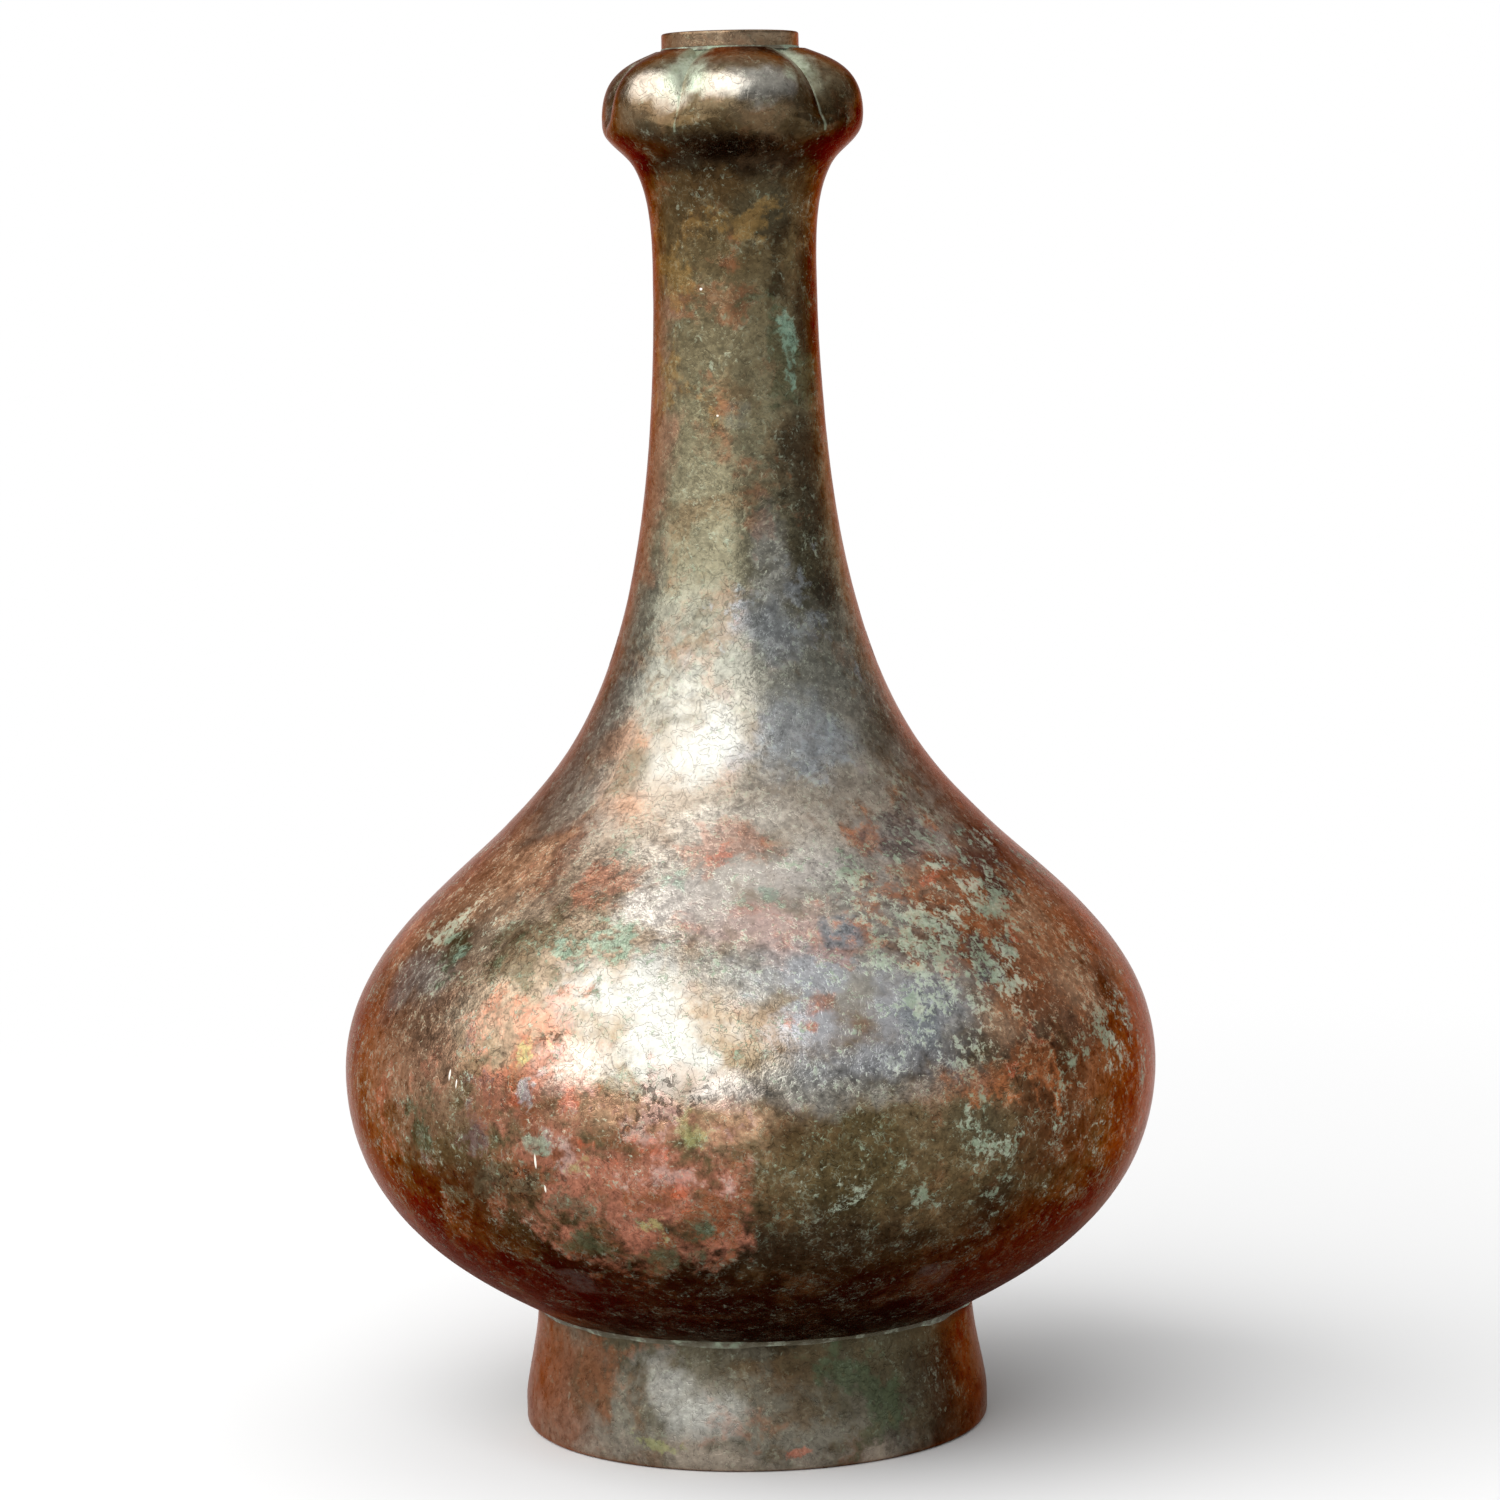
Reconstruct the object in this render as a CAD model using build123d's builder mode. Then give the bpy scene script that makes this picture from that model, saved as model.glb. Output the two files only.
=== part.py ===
from build123d import *
import os
from math import cos, radians, sin

# Bronze hu with a garlic-head mouth: cast sections, lapped and soldered on one axis.
# Millimetres, +Z up, origin at the middle of the foot's resting plane, front towards -Y.

# Rise of each stage of the outer line, from the resting plane up
FOOT_HEIGHT = 33.4
BOWL_RISE = 63.7
SHOULDER_RISE = 65.7
NECK_RISE = 149.2
FLARE_RISE = 25.0
HEAD_RISE = 14.4
DOME_RISE = 16.1
LIP_HEIGHT = 4.0

# Outer radius at each stage
FOOT_BAND_RADIUS = 62.5
FOOT_TOP_RADIUS = 58.8
BELLY_RADIUS = 109.0
TURN_RADIUS = 64.2
NECK_RADIUS = 21.8
ROOT_RADIUS = 26.0
HEAD_RADIUS = 35.2

# Heading of the outer line where two stages meet, in degrees from level outwards
BOWL_HEADING = 30.0
TURN_HEADING = 134.7
ROOT_HEADING = 62.4
SEAT_HEADING = 158.8
UPRIGHT = 90.0
LEVEL = 0.0

# How far each curve holds its first and last heading, as shares of its chord
FOOT_PULLS = (0.22, 0.37)
BOWL_PULLS = (0.206, 0.487)
SHOULDER_PULLS = (0.396, 0.283)
NECK_PULLS = (0.155, 0.702)
FLARE_PULLS = (0.525, 0.22)
HEAD_PULLS = (0.335, 0.47)
DOME_PULLS = (0.51, 0.30)
PLAIN_PULLS = (0.35, 0.35)

# Walls and lap joints
WALL = 2.4
LAP = 5.0
SOLDER = 0.3
SKIRT = (WALL - SOLDER) / 2
TONGUE_DEPTH = SKIRT + SOLDER

# Foot and floor
FOOT_WALL = 3.2
FOOT_RIM = 4.9
FOOT_BAND_HEIGHT = 6.8
FOOT_EDGE_ROUND = 2.0
FOOT_SEAM = 0.4
FOOT_SPIGOT_DROP = 3.0
FLOOR_DROP = 6.8
FLOOR_OPENING_RADIUS = 36.0
FLOOR_LEDGE = 4.3

# Garlic head and mouth
CLOVE_SPANS = (72.0, 59.0, 59.0, 59.0, 59.0, 52.0)
FIRST_GROOVE = -116.0
GROOVE_SHARE = 0.24
GROOVE_SPREAD = 1.3
GROOVE_FOOT = 0.66
CORE_RADIUS = 27.5
CORE_HEADING = 138.0
HEAD_WALL = 5.0
COLLAR_HEIGHT = 5.2
MOUTH_RADIUS = 15.2
SPIGOT_WALL = 1.3
SPIGOT_LENGTH = 5.0
MOUTH_SEAM = 0.5
LIP_WALL = 2.9
LIP_ROUND = 0.6

# Radii about the mouth, which follow its bore
SEAT_LEDGE = 2.3
COLLAR_WALL = 1.0
CAVITY_SHELF = 3.7
LIP_RADIUS = MOUTH_RADIUS + LIP_WALL
SEAT_RADIUS = LIP_RADIUS + SEAT_LEDGE
HOLE_RADIUS = MOUTH_RADIUS + SPIGOT_WALL + SOLDER
CORE_SEAT_RADIUS = HOLE_RADIUS + COLLAR_WALL
CAVITY_TOP_RADIUS = HOLE_RADIUS + CAVITY_SHELF

# Chaplets: side, then rows of (place along the curve, count, first angle)
CHAPLET_SIDE = 12.0
NECK_CHAPLET_SIDE = 8.0
NECK_CHAPLET_ROWS = ((0.35, 2, 0.0), (0.75, 2, 90.0))
SHOULDER_CHAPLET_ROWS = ((0.30, 4, -65.5), (0.66, 4, -74.0))
BOWL_CHAPLET_ROWS = ((0.45, 6, -60.0),)
CHAPLET_REACH = 4 * WALL

# Heights where the stages meet
widest_z = FOOT_HEIGHT + BOWL_RISE
turn_z = widest_z + SHOULDER_RISE
narrow_z = turn_z + NECK_RISE
root_z = narrow_z + FLARE_RISE
head_z = root_z + HEAD_RISE
seat_z = head_z + DOME_RISE
lip_z = seat_z + MOUTH_SEAM
top_z = lip_z + LIP_HEIGHT
floor_z = FOOT_HEIGHT - FLOOR_DROP


def heading(angle):
    """Unit step in the profile plane: radius across, height up."""
    return Vector(cos(radians(angle)), sin(radians(angle)))


def swell(start, start_heading, end, end_heading, pulls):
    """Control points of one curve of the profile."""
    chord = (end - start).length
    leaving = start + heading(start_heading) * pulls[0] * chord
    arriving = end - heading(end_heading) * pulls[1] * chord
    return start, leaving, arriving, end


def seam(point, angle):
    """Places beside a joint: steps along the outer line, depths into the wall."""
    along = heading(angle)
    inward = heading(angle + UPRIGHT)

    def place(step, depth):
        return point + along * step + inward * depth

    return place


def tongue(place, way):
    """Corners of a wall's end that goes into the next section, from its outer to its inner side."""
    return (place(0, 0), place(0, TONGUE_DEPTH), place(way * LAP, TONGUE_DEPTH),
            place(way * LAP, WALL), place(0, WALL))


def socket(place, way):
    """Outline of what is cut from a wall's inner side where it goes over a tongue."""
    mouth = -way * WALL
    bottom = way * (LAP + SOLDER)
    return place(mouth, SKIRT), place(bottom, SKIRT), place(bottom, 2 * WALL), place(mouth, 2 * WALL)


def lap_solder(place, way):
    """Outline of the solder between a tongue and its socket."""
    bottom = way * (LAP + SOLDER)
    return (place(0, SKIRT), place(0, TONGUE_DEPTH), place(way * LAP, TONGUE_DEPTH),
            place(way * LAP, WALL), place(bottom, WALL), place(bottom, SKIRT))


def chaplet_planes(curve, rows):
    """Planes on the outer surface, facing out, one for each chaplet of the rows."""
    line = Bezier(*curve, mode=Mode.PRIVATE)
    planes = []
    for share, count, first in rows:
        point = line @ share
        tangent = line % share
        for index in range(count):
            angle = radians(first + index * 360 / count)
            out = Vector(cos(angle), sin(angle), 0)
            side = Vector(-sin(angle), cos(angle), 0)
            origin = out * point.X + Vector(0, 0, point.Y)
            normal = out * tangent.Y - Vector(0, 0, tangent.X)
            planes.append(Plane(origin, x_dir=side, z_dir=normal))
    return planes


# Joints between the sections
foot_point = Vector(FOOT_TOP_RADIUS, FOOT_HEIGHT)
foot_seam = seam(foot_point, BOWL_HEADING)
belly_seam = seam(Vector(BELLY_RADIUS, widest_z), UPRIGHT)
turn_seam = seam(Vector(TURN_RADIUS, turn_z), TURN_HEADING)
narrow_seam = seam(Vector(NECK_RADIUS, narrow_z), UPRIGHT)
root_seam = seam(Vector(ROOT_RADIUS, root_z), ROOT_HEADING)
head_widest = Vector(HEAD_RADIUS, head_z)
head_seat = Vector(SEAT_RADIUS, seat_z)

# Outer curves
bowl_curve = swell(foot_point, BOWL_HEADING, belly_seam(0, 0), UPRIGHT, BOWL_PULLS)
shoulder_curve = swell(belly_seam(0, 0), UPRIGHT, turn_seam(0, 0), TURN_HEADING, SHOULDER_PULLS)
neck_curve = swell(turn_seam(0, 0), TURN_HEADING, narrow_seam(0, 0), UPRIGHT, NECK_PULLS)
flare_curve = swell(narrow_seam(0, 0), UPRIGHT, root_seam(0, 0), ROOT_HEADING, FLARE_PULLS)
head_curve = swell(root_seam(0, 0), ROOT_HEADING, head_widest, UPRIGHT, HEAD_PULLS)
dome_curve = swell(head_widest, UPRIGHT, head_seat, SEAT_HEADING, DOME_PULLS)

# The conical land where the bowl sits on the foot, and the spigot that centres it
land_radius = FOOT_TOP_RADIUS - FOOT_WALL
foot_spigot_radius = land_radius - FOOT_SEAM


def land(radius):
    """Point of the bowl's conical underside at a radius."""
    return foot_seam(-(FOOT_TOP_RADIUS - radius) / cos(radians(BOWL_HEADING)), 0)


spigot_bottom = land(foot_spigot_radius).Y - FOOT_SPIGOT_DROP
foot_sink = Vector(0, -FOOT_SEAM)
floor_ledge_radius = FLOOR_OPENING_RADIUS + FLOOR_LEDGE
floor_top = floor_z + WALL
ledge_z = floor_top - SKIRT

# Foot ring
with BuildPart() as foot_ring:
    rim_inner = Vector(FOOT_BAND_RADIUS - FOOT_RIM, 0)
    band_top = Vector(FOOT_BAND_RADIUS, FOOT_BAND_HEIGHT)
    inner_top = Vector(land_radius, spigot_bottom)
    with BuildSketch(Plane.XZ):
        with BuildLine():
            Polyline(rim_inner, Vector(FOOT_BAND_RADIUS, 0), band_top)
            Bezier(*swell(band_top, UPRIGHT, foot_point + foot_sink, UPRIGHT, FOOT_PULLS))
            Polyline(foot_point + foot_sink, land(land_radius) + foot_sink, inner_top)
            Bezier(*swell(inner_top, -UPRIGHT, rim_inner, -UPRIGHT, PLAIN_PULLS))
        make_face()
    revolve(axis=Axis.Z)
    resting_edges = foot_ring.edges().group_by(Axis.Z)[0]
    fillet(resting_edges.sort_by(SortBy.RADIUS)[-1], FOOT_EDGE_ROUND)

with BuildPart() as foot_solder:
    with BuildSketch(Plane.XZ):
        with BuildLine():
            Polyline(foot_point, foot_point + foot_sink, land(land_radius) + foot_sink,
                     Vector(land_radius, spigot_bottom), Vector(foot_spigot_radius, spigot_bottom),
                     land(foot_spigot_radius), close=True)
        make_face()
    revolve(axis=Axis.Z)

# Floor plate, let into the bowl from below
with BuildPart() as floor_plate:
    flange_radius = floor_ledge_radius - SOLDER
    boss_radius = FLOOR_OPENING_RADIUS - SOLDER
    flange_top = ledge_z - SOLDER
    with BuildSketch(Plane.XZ):
        with BuildLine():
            Polyline((0, floor_z), (flange_radius, floor_z), (flange_radius, flange_top),
                     (boss_radius, flange_top), (boss_radius, floor_top), (0, floor_top), close=True)
        make_face()
    revolve(axis=Axis.Z)

with BuildPart() as floor_solder:
    with BuildSketch(Plane.XZ):
        with BuildLine():
            Polyline((boss_radius, floor_top), (FLOOR_OPENING_RADIUS, floor_top),
                     (FLOOR_OPENING_RADIUS, ledge_z), (floor_ledge_radius, ledge_z),
                     (floor_ledge_radius, floor_z), (flange_radius, floor_z),
                     (flange_radius, flange_top), (boss_radius, flange_top), close=True)
        make_face()
    revolve(axis=Axis.Z)

# Bowl: the lower half of the belly
bowl_chaplet_planes = chaplet_planes(bowl_curve, BOWL_CHAPLET_ROWS)

with BuildPart() as bowl:
    spigot_inner = foot_spigot_radius - WALL
    underside_end = Vector(floor_ledge_radius, floor_z)
    lining_start = Vector(floor_ledge_radius, floor_top)
    with BuildSketch(Plane.XZ):
        with BuildLine():
            Bezier(*bowl_curve)
            Polyline(*tongue(belly_seam, 1))
            Bezier(*swell(foot_seam(0, WALL), BOWL_HEADING, belly_seam(0, WALL), UPRIGHT, BOWL_PULLS))
            Bezier(*swell(lining_start, LEVEL, foot_seam(0, WALL), BOWL_HEADING, PLAIN_PULLS))
            Polyline(lining_start, (FLOOR_OPENING_RADIUS, floor_top), (FLOOR_OPENING_RADIUS, ledge_z),
                     (floor_ledge_radius, ledge_z), underside_end)
            Bezier(*swell(underside_end, LEVEL, land(spigot_inner), BOWL_HEADING, PLAIN_PULLS))
            Polyline(land(spigot_inner), (spigot_inner, spigot_bottom),
                     (foot_spigot_radius, spigot_bottom), land(foot_spigot_radius), foot_point)
        make_face()
    revolve(axis=Axis.Z)
    bowl_wall = bowl.part
    with Locations(*bowl_chaplet_planes):
        Box(CHAPLET_SIDE, CHAPLET_SIDE, CHAPLET_REACH, mode=Mode.SUBTRACT)

with BuildPart() as bowl_chaplets:
    with Locations(*bowl_chaplet_planes):
        Box(CHAPLET_SIDE, CHAPLET_SIDE, CHAPLET_REACH)
    add(bowl_wall, mode=Mode.INTERSECT)

# Shoulder: the upper half of the belly
shoulder_chaplet_planes = chaplet_planes(shoulder_curve, SHOULDER_CHAPLET_ROWS)

with BuildPart() as shoulder:
    with BuildSketch(Plane.XZ):
        with BuildLine():
            Bezier(*shoulder_curve)
            Polyline(*tongue(turn_seam, 1))
            Bezier(*swell(belly_seam(0, WALL), UPRIGHT, turn_seam(0, WALL), TURN_HEADING, SHOULDER_PULLS))
            Line(belly_seam(0, WALL), belly_seam(0, 0))
        make_face()
    revolve(axis=Axis.Z)
    with BuildSketch(Plane.XZ):
        with BuildLine():
            Polyline(*socket(belly_seam, 1), close=True)
        make_face()
    revolve(axis=Axis.Z, mode=Mode.SUBTRACT)
    shoulder_wall = shoulder.part
    with Locations(*shoulder_chaplet_planes):
        Box(CHAPLET_SIDE, CHAPLET_SIDE, CHAPLET_REACH, mode=Mode.SUBTRACT)

with BuildPart() as shoulder_chaplets:
    with Locations(*shoulder_chaplet_planes):
        Box(CHAPLET_SIDE, CHAPLET_SIDE, CHAPLET_REACH)
    add(shoulder_wall, mode=Mode.INTERSECT)

# Neck: the flare at its foot, the tube and the start of the head
neck_chaplet_planes = chaplet_planes(neck_curve, NECK_CHAPLET_ROWS)

with BuildPart() as neck:
    with BuildSketch(Plane.XZ):
        with BuildLine():
            Bezier(*neck_curve)
            Bezier(*flare_curve)
            Line(root_seam(0, 0), root_seam(0, WALL))
            Bezier(*swell(narrow_seam(0, WALL), UPRIGHT, root_seam(0, WALL), ROOT_HEADING, FLARE_PULLS))
            Bezier(*swell(turn_seam(0, WALL), TURN_HEADING, narrow_seam(0, WALL), UPRIGHT, NECK_PULLS))
            Line(turn_seam(0, WALL), turn_seam(0, 0))
        make_face()
    revolve(axis=Axis.Z)
    with BuildSketch(Plane.XZ):
        for place, way in ((turn_seam, 1), (root_seam, -1)):
            with BuildLine():
                Polyline(*socket(place, way), close=True)
            make_face()
    revolve(axis=Axis.Z, mode=Mode.SUBTRACT)
    neck_wall = neck.part
    with Locations(*neck_chaplet_planes):
        Box(NECK_CHAPLET_SIDE, NECK_CHAPLET_SIDE, CHAPLET_REACH, mode=Mode.SUBTRACT)

with BuildPart() as neck_chaplets:
    with Locations(*neck_chaplet_planes):
        Box(NECK_CHAPLET_SIDE, NECK_CHAPLET_SIDE, CHAPLET_REACH)
    add(neck_wall, mode=Mode.INTERSECT)

# Solder in the three lap joints of the body
with BuildPart() as belly_solder:
    with BuildSketch(Plane.XZ):
        with BuildLine():
            Polyline(*lap_solder(belly_seam, 1), close=True)
        make_face()
    revolve(axis=Axis.Z)

with BuildPart() as neck_solder:
    with BuildSketch(Plane.XZ):
        with BuildLine():
            Polyline(*lap_solder(turn_seam, 1), close=True)
        make_face()
    revolve(axis=Axis.Z)

with BuildPart() as head_solder:
    with BuildSketch(Plane.XZ):
        with BuildLine():
            Polyline(*lap_solder(root_seam, -1), close=True)
        make_face()
    revolve(axis=Axis.Z)

# Garlic head: a round root that swells into cloves, uneven as the real ones are
HEAD_STATIONS = (GROOVE_FOOT, (GROOVE_FOOT + 1) / 2)
DOME_STATIONS = (0.0, 0.2, 0.4, 0.6, 0.8, 1.0)
head_line = Bezier(*head_curve)
dome_line = Bezier(*dome_curve)
crests = [head_line @ share for share in HEAD_STATIONS] + [dome_line @ share for share in DOME_STATIONS]
groove_start_z = crests[0].Y
groove_angles = [FIRST_GROOVE + sum(CLOVE_SPANS[:index]) for index in range(len(CLOVE_SPANS))]


def valley_radius(crest):
    """Radius at the bottom of the grooves beside a crest: none cut at their foot, full depth at the seat."""
    climb = (crest.Y - groove_start_z) / (seat_z - groove_start_z)
    return crest.X * (1 - GROOVE_SHARE * climb ** GROOVE_SPREAD)


def polar(radius, angle):
    """Point of a level section."""
    return radius * cos(radians(angle)), radius * sin(radians(angle))


with BuildPart() as garlic_head:
    # round root, with the tongue that goes down into the neck
    with BuildSketch(Plane.XZ):
        with BuildLine():
            Polyline((0, root_seam(-LAP, WALL).Y), *reversed(tongue(root_seam, -1)[:-1]))
            Bezier(*head_curve)
            Polyline(head_widest, (0, head_z), (0, root_seam(-LAP, WALL).Y))
        make_face()
    revolve(axis=Axis.Z)
    split(bisect_by=Plane.XY.offset(groove_start_z), keep=Keep.BOTTOM)
    # cloves
    for crest in crests:
        valley = valley_radius(crest)
        with BuildSketch(Plane.XY.offset(crest.Y)):
            with BuildLine():
                for groove, span in zip(groove_angles, CLOVE_SPANS):
                    ThreePointArc(polar(valley, groove), polar(crest.X, groove + span / 2),
                                  polar(valley, groove + span))
            make_face()
    loft()
    # round core, which shows at the bottom of the grooves beside the lip
    core_foot = Vector(CORE_RADIUS, head_z)
    core_seat = Vector(CORE_SEAT_RADIUS, seat_z)
    with BuildSketch(Plane.XZ):
        with BuildLine():
            Bezier(*swell(core_foot, UPRIGHT, core_seat, CORE_HEADING, PLAIN_PULLS))
            Polyline(core_seat, (0, seat_z), (0, head_z), core_foot)
        make_face()
    revolve(axis=Axis.Z)
    # cavity, open to the neck below and through the collar above
    cavity_foot = root_seam(-2 * LAP, WALL)
    cavity_widest = Vector(HEAD_RADIUS - HEAD_WALL, head_z)
    cavity_top = Vector(CAVITY_TOP_RADIUS, seat_z - COLLAR_HEIGHT)
    with BuildSketch(Plane.XZ):
        with BuildLine():
            Polyline((0, cavity_foot.Y), cavity_foot, root_seam(0, WALL))
            Bezier(*swell(root_seam(0, WALL), ROOT_HEADING, cavity_widest, UPRIGHT, HEAD_PULLS))
            Bezier(*swell(cavity_widest, UPRIGHT, cavity_top, SEAT_HEADING, PLAIN_PULLS))
            Polyline(cavity_top, (HOLE_RADIUS, cavity_top.Y), (HOLE_RADIUS, top_z), (0, top_z),
                     (0, cavity_foot.Y))
        make_face()
    revolve(axis=Axis.Z, mode=Mode.SUBTRACT)

# Mouth ring, with a spigot in the head's collar
with BuildPart() as mouth_ring:
    spigot_radius = MOUTH_RADIUS + SPIGOT_WALL
    spigot_z = seat_z - SPIGOT_LENGTH
    with BuildSketch(Plane.XZ):
        with BuildLine():
            Polyline((MOUTH_RADIUS, spigot_z), (spigot_radius, spigot_z), (spigot_radius, lip_z),
                     (LIP_RADIUS, lip_z), (LIP_RADIUS, top_z), (MOUTH_RADIUS, top_z), close=True)
        make_face()
    revolve(axis=Axis.Z)
    fillet(mouth_ring.edges().group_by(Axis.Z)[-1], LIP_ROUND)

with BuildPart() as mouth_solder:
    with BuildSketch(Plane.XZ):
        with BuildLine():
            Polyline((spigot_radius, spigot_z), (HOLE_RADIUS, spigot_z), (HOLE_RADIUS, seat_z),
                     (LIP_RADIUS, seat_z), (LIP_RADIUS, lip_z), (spigot_radius, lip_z), close=True)
        make_face()
    revolve(axis=Axis.Z)

pieces = {
    "mouth_ring": mouth_ring,
    "mouth_solder": mouth_solder,
    "garlic_head": garlic_head,
    "head_solder": head_solder,
    "neck": neck,
    "neck_chaplets": neck_chaplets,
    "neck_solder": neck_solder,
    "shoulder": shoulder,
    "shoulder_chaplets": shoulder_chaplets,
    "belly_solder": belly_solder,
    "bowl": bowl,
    "bowl_chaplets": bowl_chaplets,
    "floor_plate": floor_plate,
    "floor_solder": floor_solder,
    "foot_ring": foot_ring,
    "foot_solder": foot_solder,
}

os.makedirs("parts", exist_ok=True)
for name, piece in pieces.items():
    piece.part.label = name
    export_step(piece.part, f"parts/{name}.step")
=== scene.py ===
from math import atan2, cos, degrees, hypot, pi, radians, sin, sqrt

import bmesh
import bpy
from mathutils import Matrix, Vector, noise
from mathutils.geometry import interpolate_bezier


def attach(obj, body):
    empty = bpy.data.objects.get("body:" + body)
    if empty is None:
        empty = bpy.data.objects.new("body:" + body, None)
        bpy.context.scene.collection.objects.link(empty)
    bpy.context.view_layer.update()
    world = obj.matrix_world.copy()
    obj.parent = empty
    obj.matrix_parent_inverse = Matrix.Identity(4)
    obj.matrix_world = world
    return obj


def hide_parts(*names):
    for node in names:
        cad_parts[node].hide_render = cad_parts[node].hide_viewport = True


# Bronze hu with a garlic-head mouth. Metres, +Z up, front towards -Y.
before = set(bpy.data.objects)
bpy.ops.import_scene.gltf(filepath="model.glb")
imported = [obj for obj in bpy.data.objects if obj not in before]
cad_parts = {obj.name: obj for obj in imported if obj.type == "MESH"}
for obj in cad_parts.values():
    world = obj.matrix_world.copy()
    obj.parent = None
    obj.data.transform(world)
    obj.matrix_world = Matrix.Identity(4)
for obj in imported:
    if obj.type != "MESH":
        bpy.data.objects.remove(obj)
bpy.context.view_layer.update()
MM = 0.001

# Rise of each stage of the outer line, from the resting plane up
FOOT_HEIGHT = 33.4 * MM
BOWL_RISE = 63.7 * MM
SHOULDER_RISE = 65.7 * MM
NECK_RISE = 149.2 * MM
FLARE_RISE = 25.0 * MM
HEAD_RISE = 14.4 * MM
DOME_RISE = 16.1 * MM
MOUTH_SEAM = 0.5 * MM
LIP_HEIGHT = 4.0 * MM

# Outer radius at each stage
FOOT_BAND_RADIUS = 62.5 * MM
FOOT_TOP_RADIUS = 58.8 * MM
BELLY_RADIUS = 109.0 * MM
TURN_RADIUS = 64.2 * MM
NECK_RADIUS = 21.8 * MM
ROOT_RADIUS = 26.0 * MM
HEAD_RADIUS = 35.2 * MM
SEAT_RADIUS = 20.4 * MM
LIP_RADIUS = 18.1 * MM
MOUTH_RADIUS = 15.2 * MM

# Heading of the outer line where two stages meet, in degrees from level outwards
BOWL_HEADING = 30.0
TURN_HEADING = 134.7
ROOT_HEADING = 62.4
SEAT_HEADING = 158.8
UPRIGHT = 90.0
LEVEL = 0.0

# How far each curve holds its first and last heading, as shares of its chord
FOOT_PULLS = (0.22, 0.37)
BOWL_PULLS = (0.206, 0.487)
SHOULDER_PULLS = (0.396, 0.283)
NECK_PULLS = (0.155, 0.702)
FLARE_PULLS = (0.525, 0.22)
HEAD_PULLS = (0.335, 0.47)
DOME_PULLS = (0.51, 0.30)
PLAIN_PULLS = (0.35, 0.35)

# Walls and lap joints
WALL = 2.4 * MM
LAP = 5.0 * MM
SOLDER = 0.3 * MM
SKIRT = (WALL - SOLDER) / 2
TONGUE_DEPTH = SKIRT + SOLDER

# Foot and floor
FOOT_WALL = 3.2 * MM
FOOT_RIM = 4.9 * MM
FOOT_BAND_HEIGHT = 6.8 * MM
FOOT_EDGE_ROUND = 2.0 * MM
FOOT_SEAM = 0.4 * MM
FOOT_SPIGOT_DROP = 3.0 * MM
FLOOR_DROP = 6.8 * MM
FLOOR_OPENING_RADIUS = 36.0 * MM
FLOOR_LEDGE = 4.3 * MM

# Garlic head and mouth
CLOVE_SPANS = (72.0, 59.0, 59.0, 59.0, 59.0, 52.0)
FIRST_GROOVE = -116.0
GROOVE_SHARE = 0.24
GROOVE_SPREAD = 0.65
GROOVE_EASE = 0.2
GROOVE_FOOT = 0.66
CREASE_REACH = 1.6
CORE_RADIUS = 27.5 * MM
CORE_SEAT_RADIUS = 17.8 * MM
CORE_HEADING = 138.0
HEAD_WALL = 5.0 * MM
CAVITY_TOP_RADIUS = 20.5 * MM
COLLAR_HEIGHT = 5.2 * MM
SPIGOT_WALL = 1.3 * MM
SPIGOT_LENGTH = 5.0 * MM
LIP_ROUND = 0.6 * MM

# Rounded corners of an outline
ROUND_PULL = 0.55
ROUND_POINTS = 5

# Chaplets: side, then rows of (place along the curve, count, first angle)
CHAPLET_SIDE = 12.0 * MM
NECK_CHAPLET_SIDE = 8.0 * MM
NECK_CHAPLET_ROWS = ((0.35, 2, 0.0), (0.75, 2, 90.0))
SHOULDER_CHAPLET_ROWS = ((0.30, 4, -65.5), (0.66, 4, -74.0))
BOWL_CHAPLET_ROWS = ((0.45, 6, -60.0),)
CHAPLET_PROUD = 0.05 * MM
CHAPLET_DEPTH = 1.0 * MM
CHAPLET_CELLS = 16
CHAPLET_CORNER = 0.10
CHAPLET_WANDER = 0.10
CHAPLET_SWELLS = 2
CHAPLET_FADE = 6
CHAPLET_BARE = 0.9
CHAPLET_COVERED = 0.15
CHAPLET_FRONT = 30.0

# Solder that shows: reach of its fillet along each face, and how much it swells
FILLET_REACH = 1.3 * MM
FILLET_SINK = 0.2 * MM
FILLET_SWELL = 0.3 * MM
FILLET_PITCH = 80.0
FILLET_PULL = 0.45
FILLET_POINTS = 8

# Rings of a turned surface: fewest to a curve, spacing outside and inside, and steps round it
FEWEST_POINTS = 3
OUTER_RING = 1.05 * MM
INNER_RING = 5.0 * MM
BELLY_STEPS = 640
NECK_STEPS = 448
HEAD_STEPS = 704
LIP_STEPS = 352
# A turned surface is spun over a wedge, which is then doubled up to a full turn
DOUBLINGS = 5
SAME_POINT = 0.003 * MM
WELD = 0.0003 * MM

# Unevenness of the cast wall: (depth, swells per metre)
DENTS = ((0.16 * MM, 22.0), (0.07 * MM, 70.0), (0.035 * MM, 210.0))
# Edges that turn by more degrees than this stay crisp
SHARP_ANGLE = 38.0

# Heights where the stages meet
widest_z = FOOT_HEIGHT + BOWL_RISE
turn_z = widest_z + SHOULDER_RISE
narrow_z = turn_z + NECK_RISE
root_z = narrow_z + FLARE_RISE
head_z = root_z + HEAD_RISE
seat_z = head_z + DOME_RISE
lip_z = seat_z + MOUTH_SEAM
top_z = lip_z + LIP_HEIGHT
floor_z = FOOT_HEIGHT - FLOOR_DROP
floor_top = floor_z + WALL
ledge_z = floor_top - SKIRT


# Profile lines, as points of (radius, height)
def flat(radius, height):
    return Vector((radius, height))


def heading(angle):
    return flat(cos(radians(angle)), sin(radians(angle)))


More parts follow.
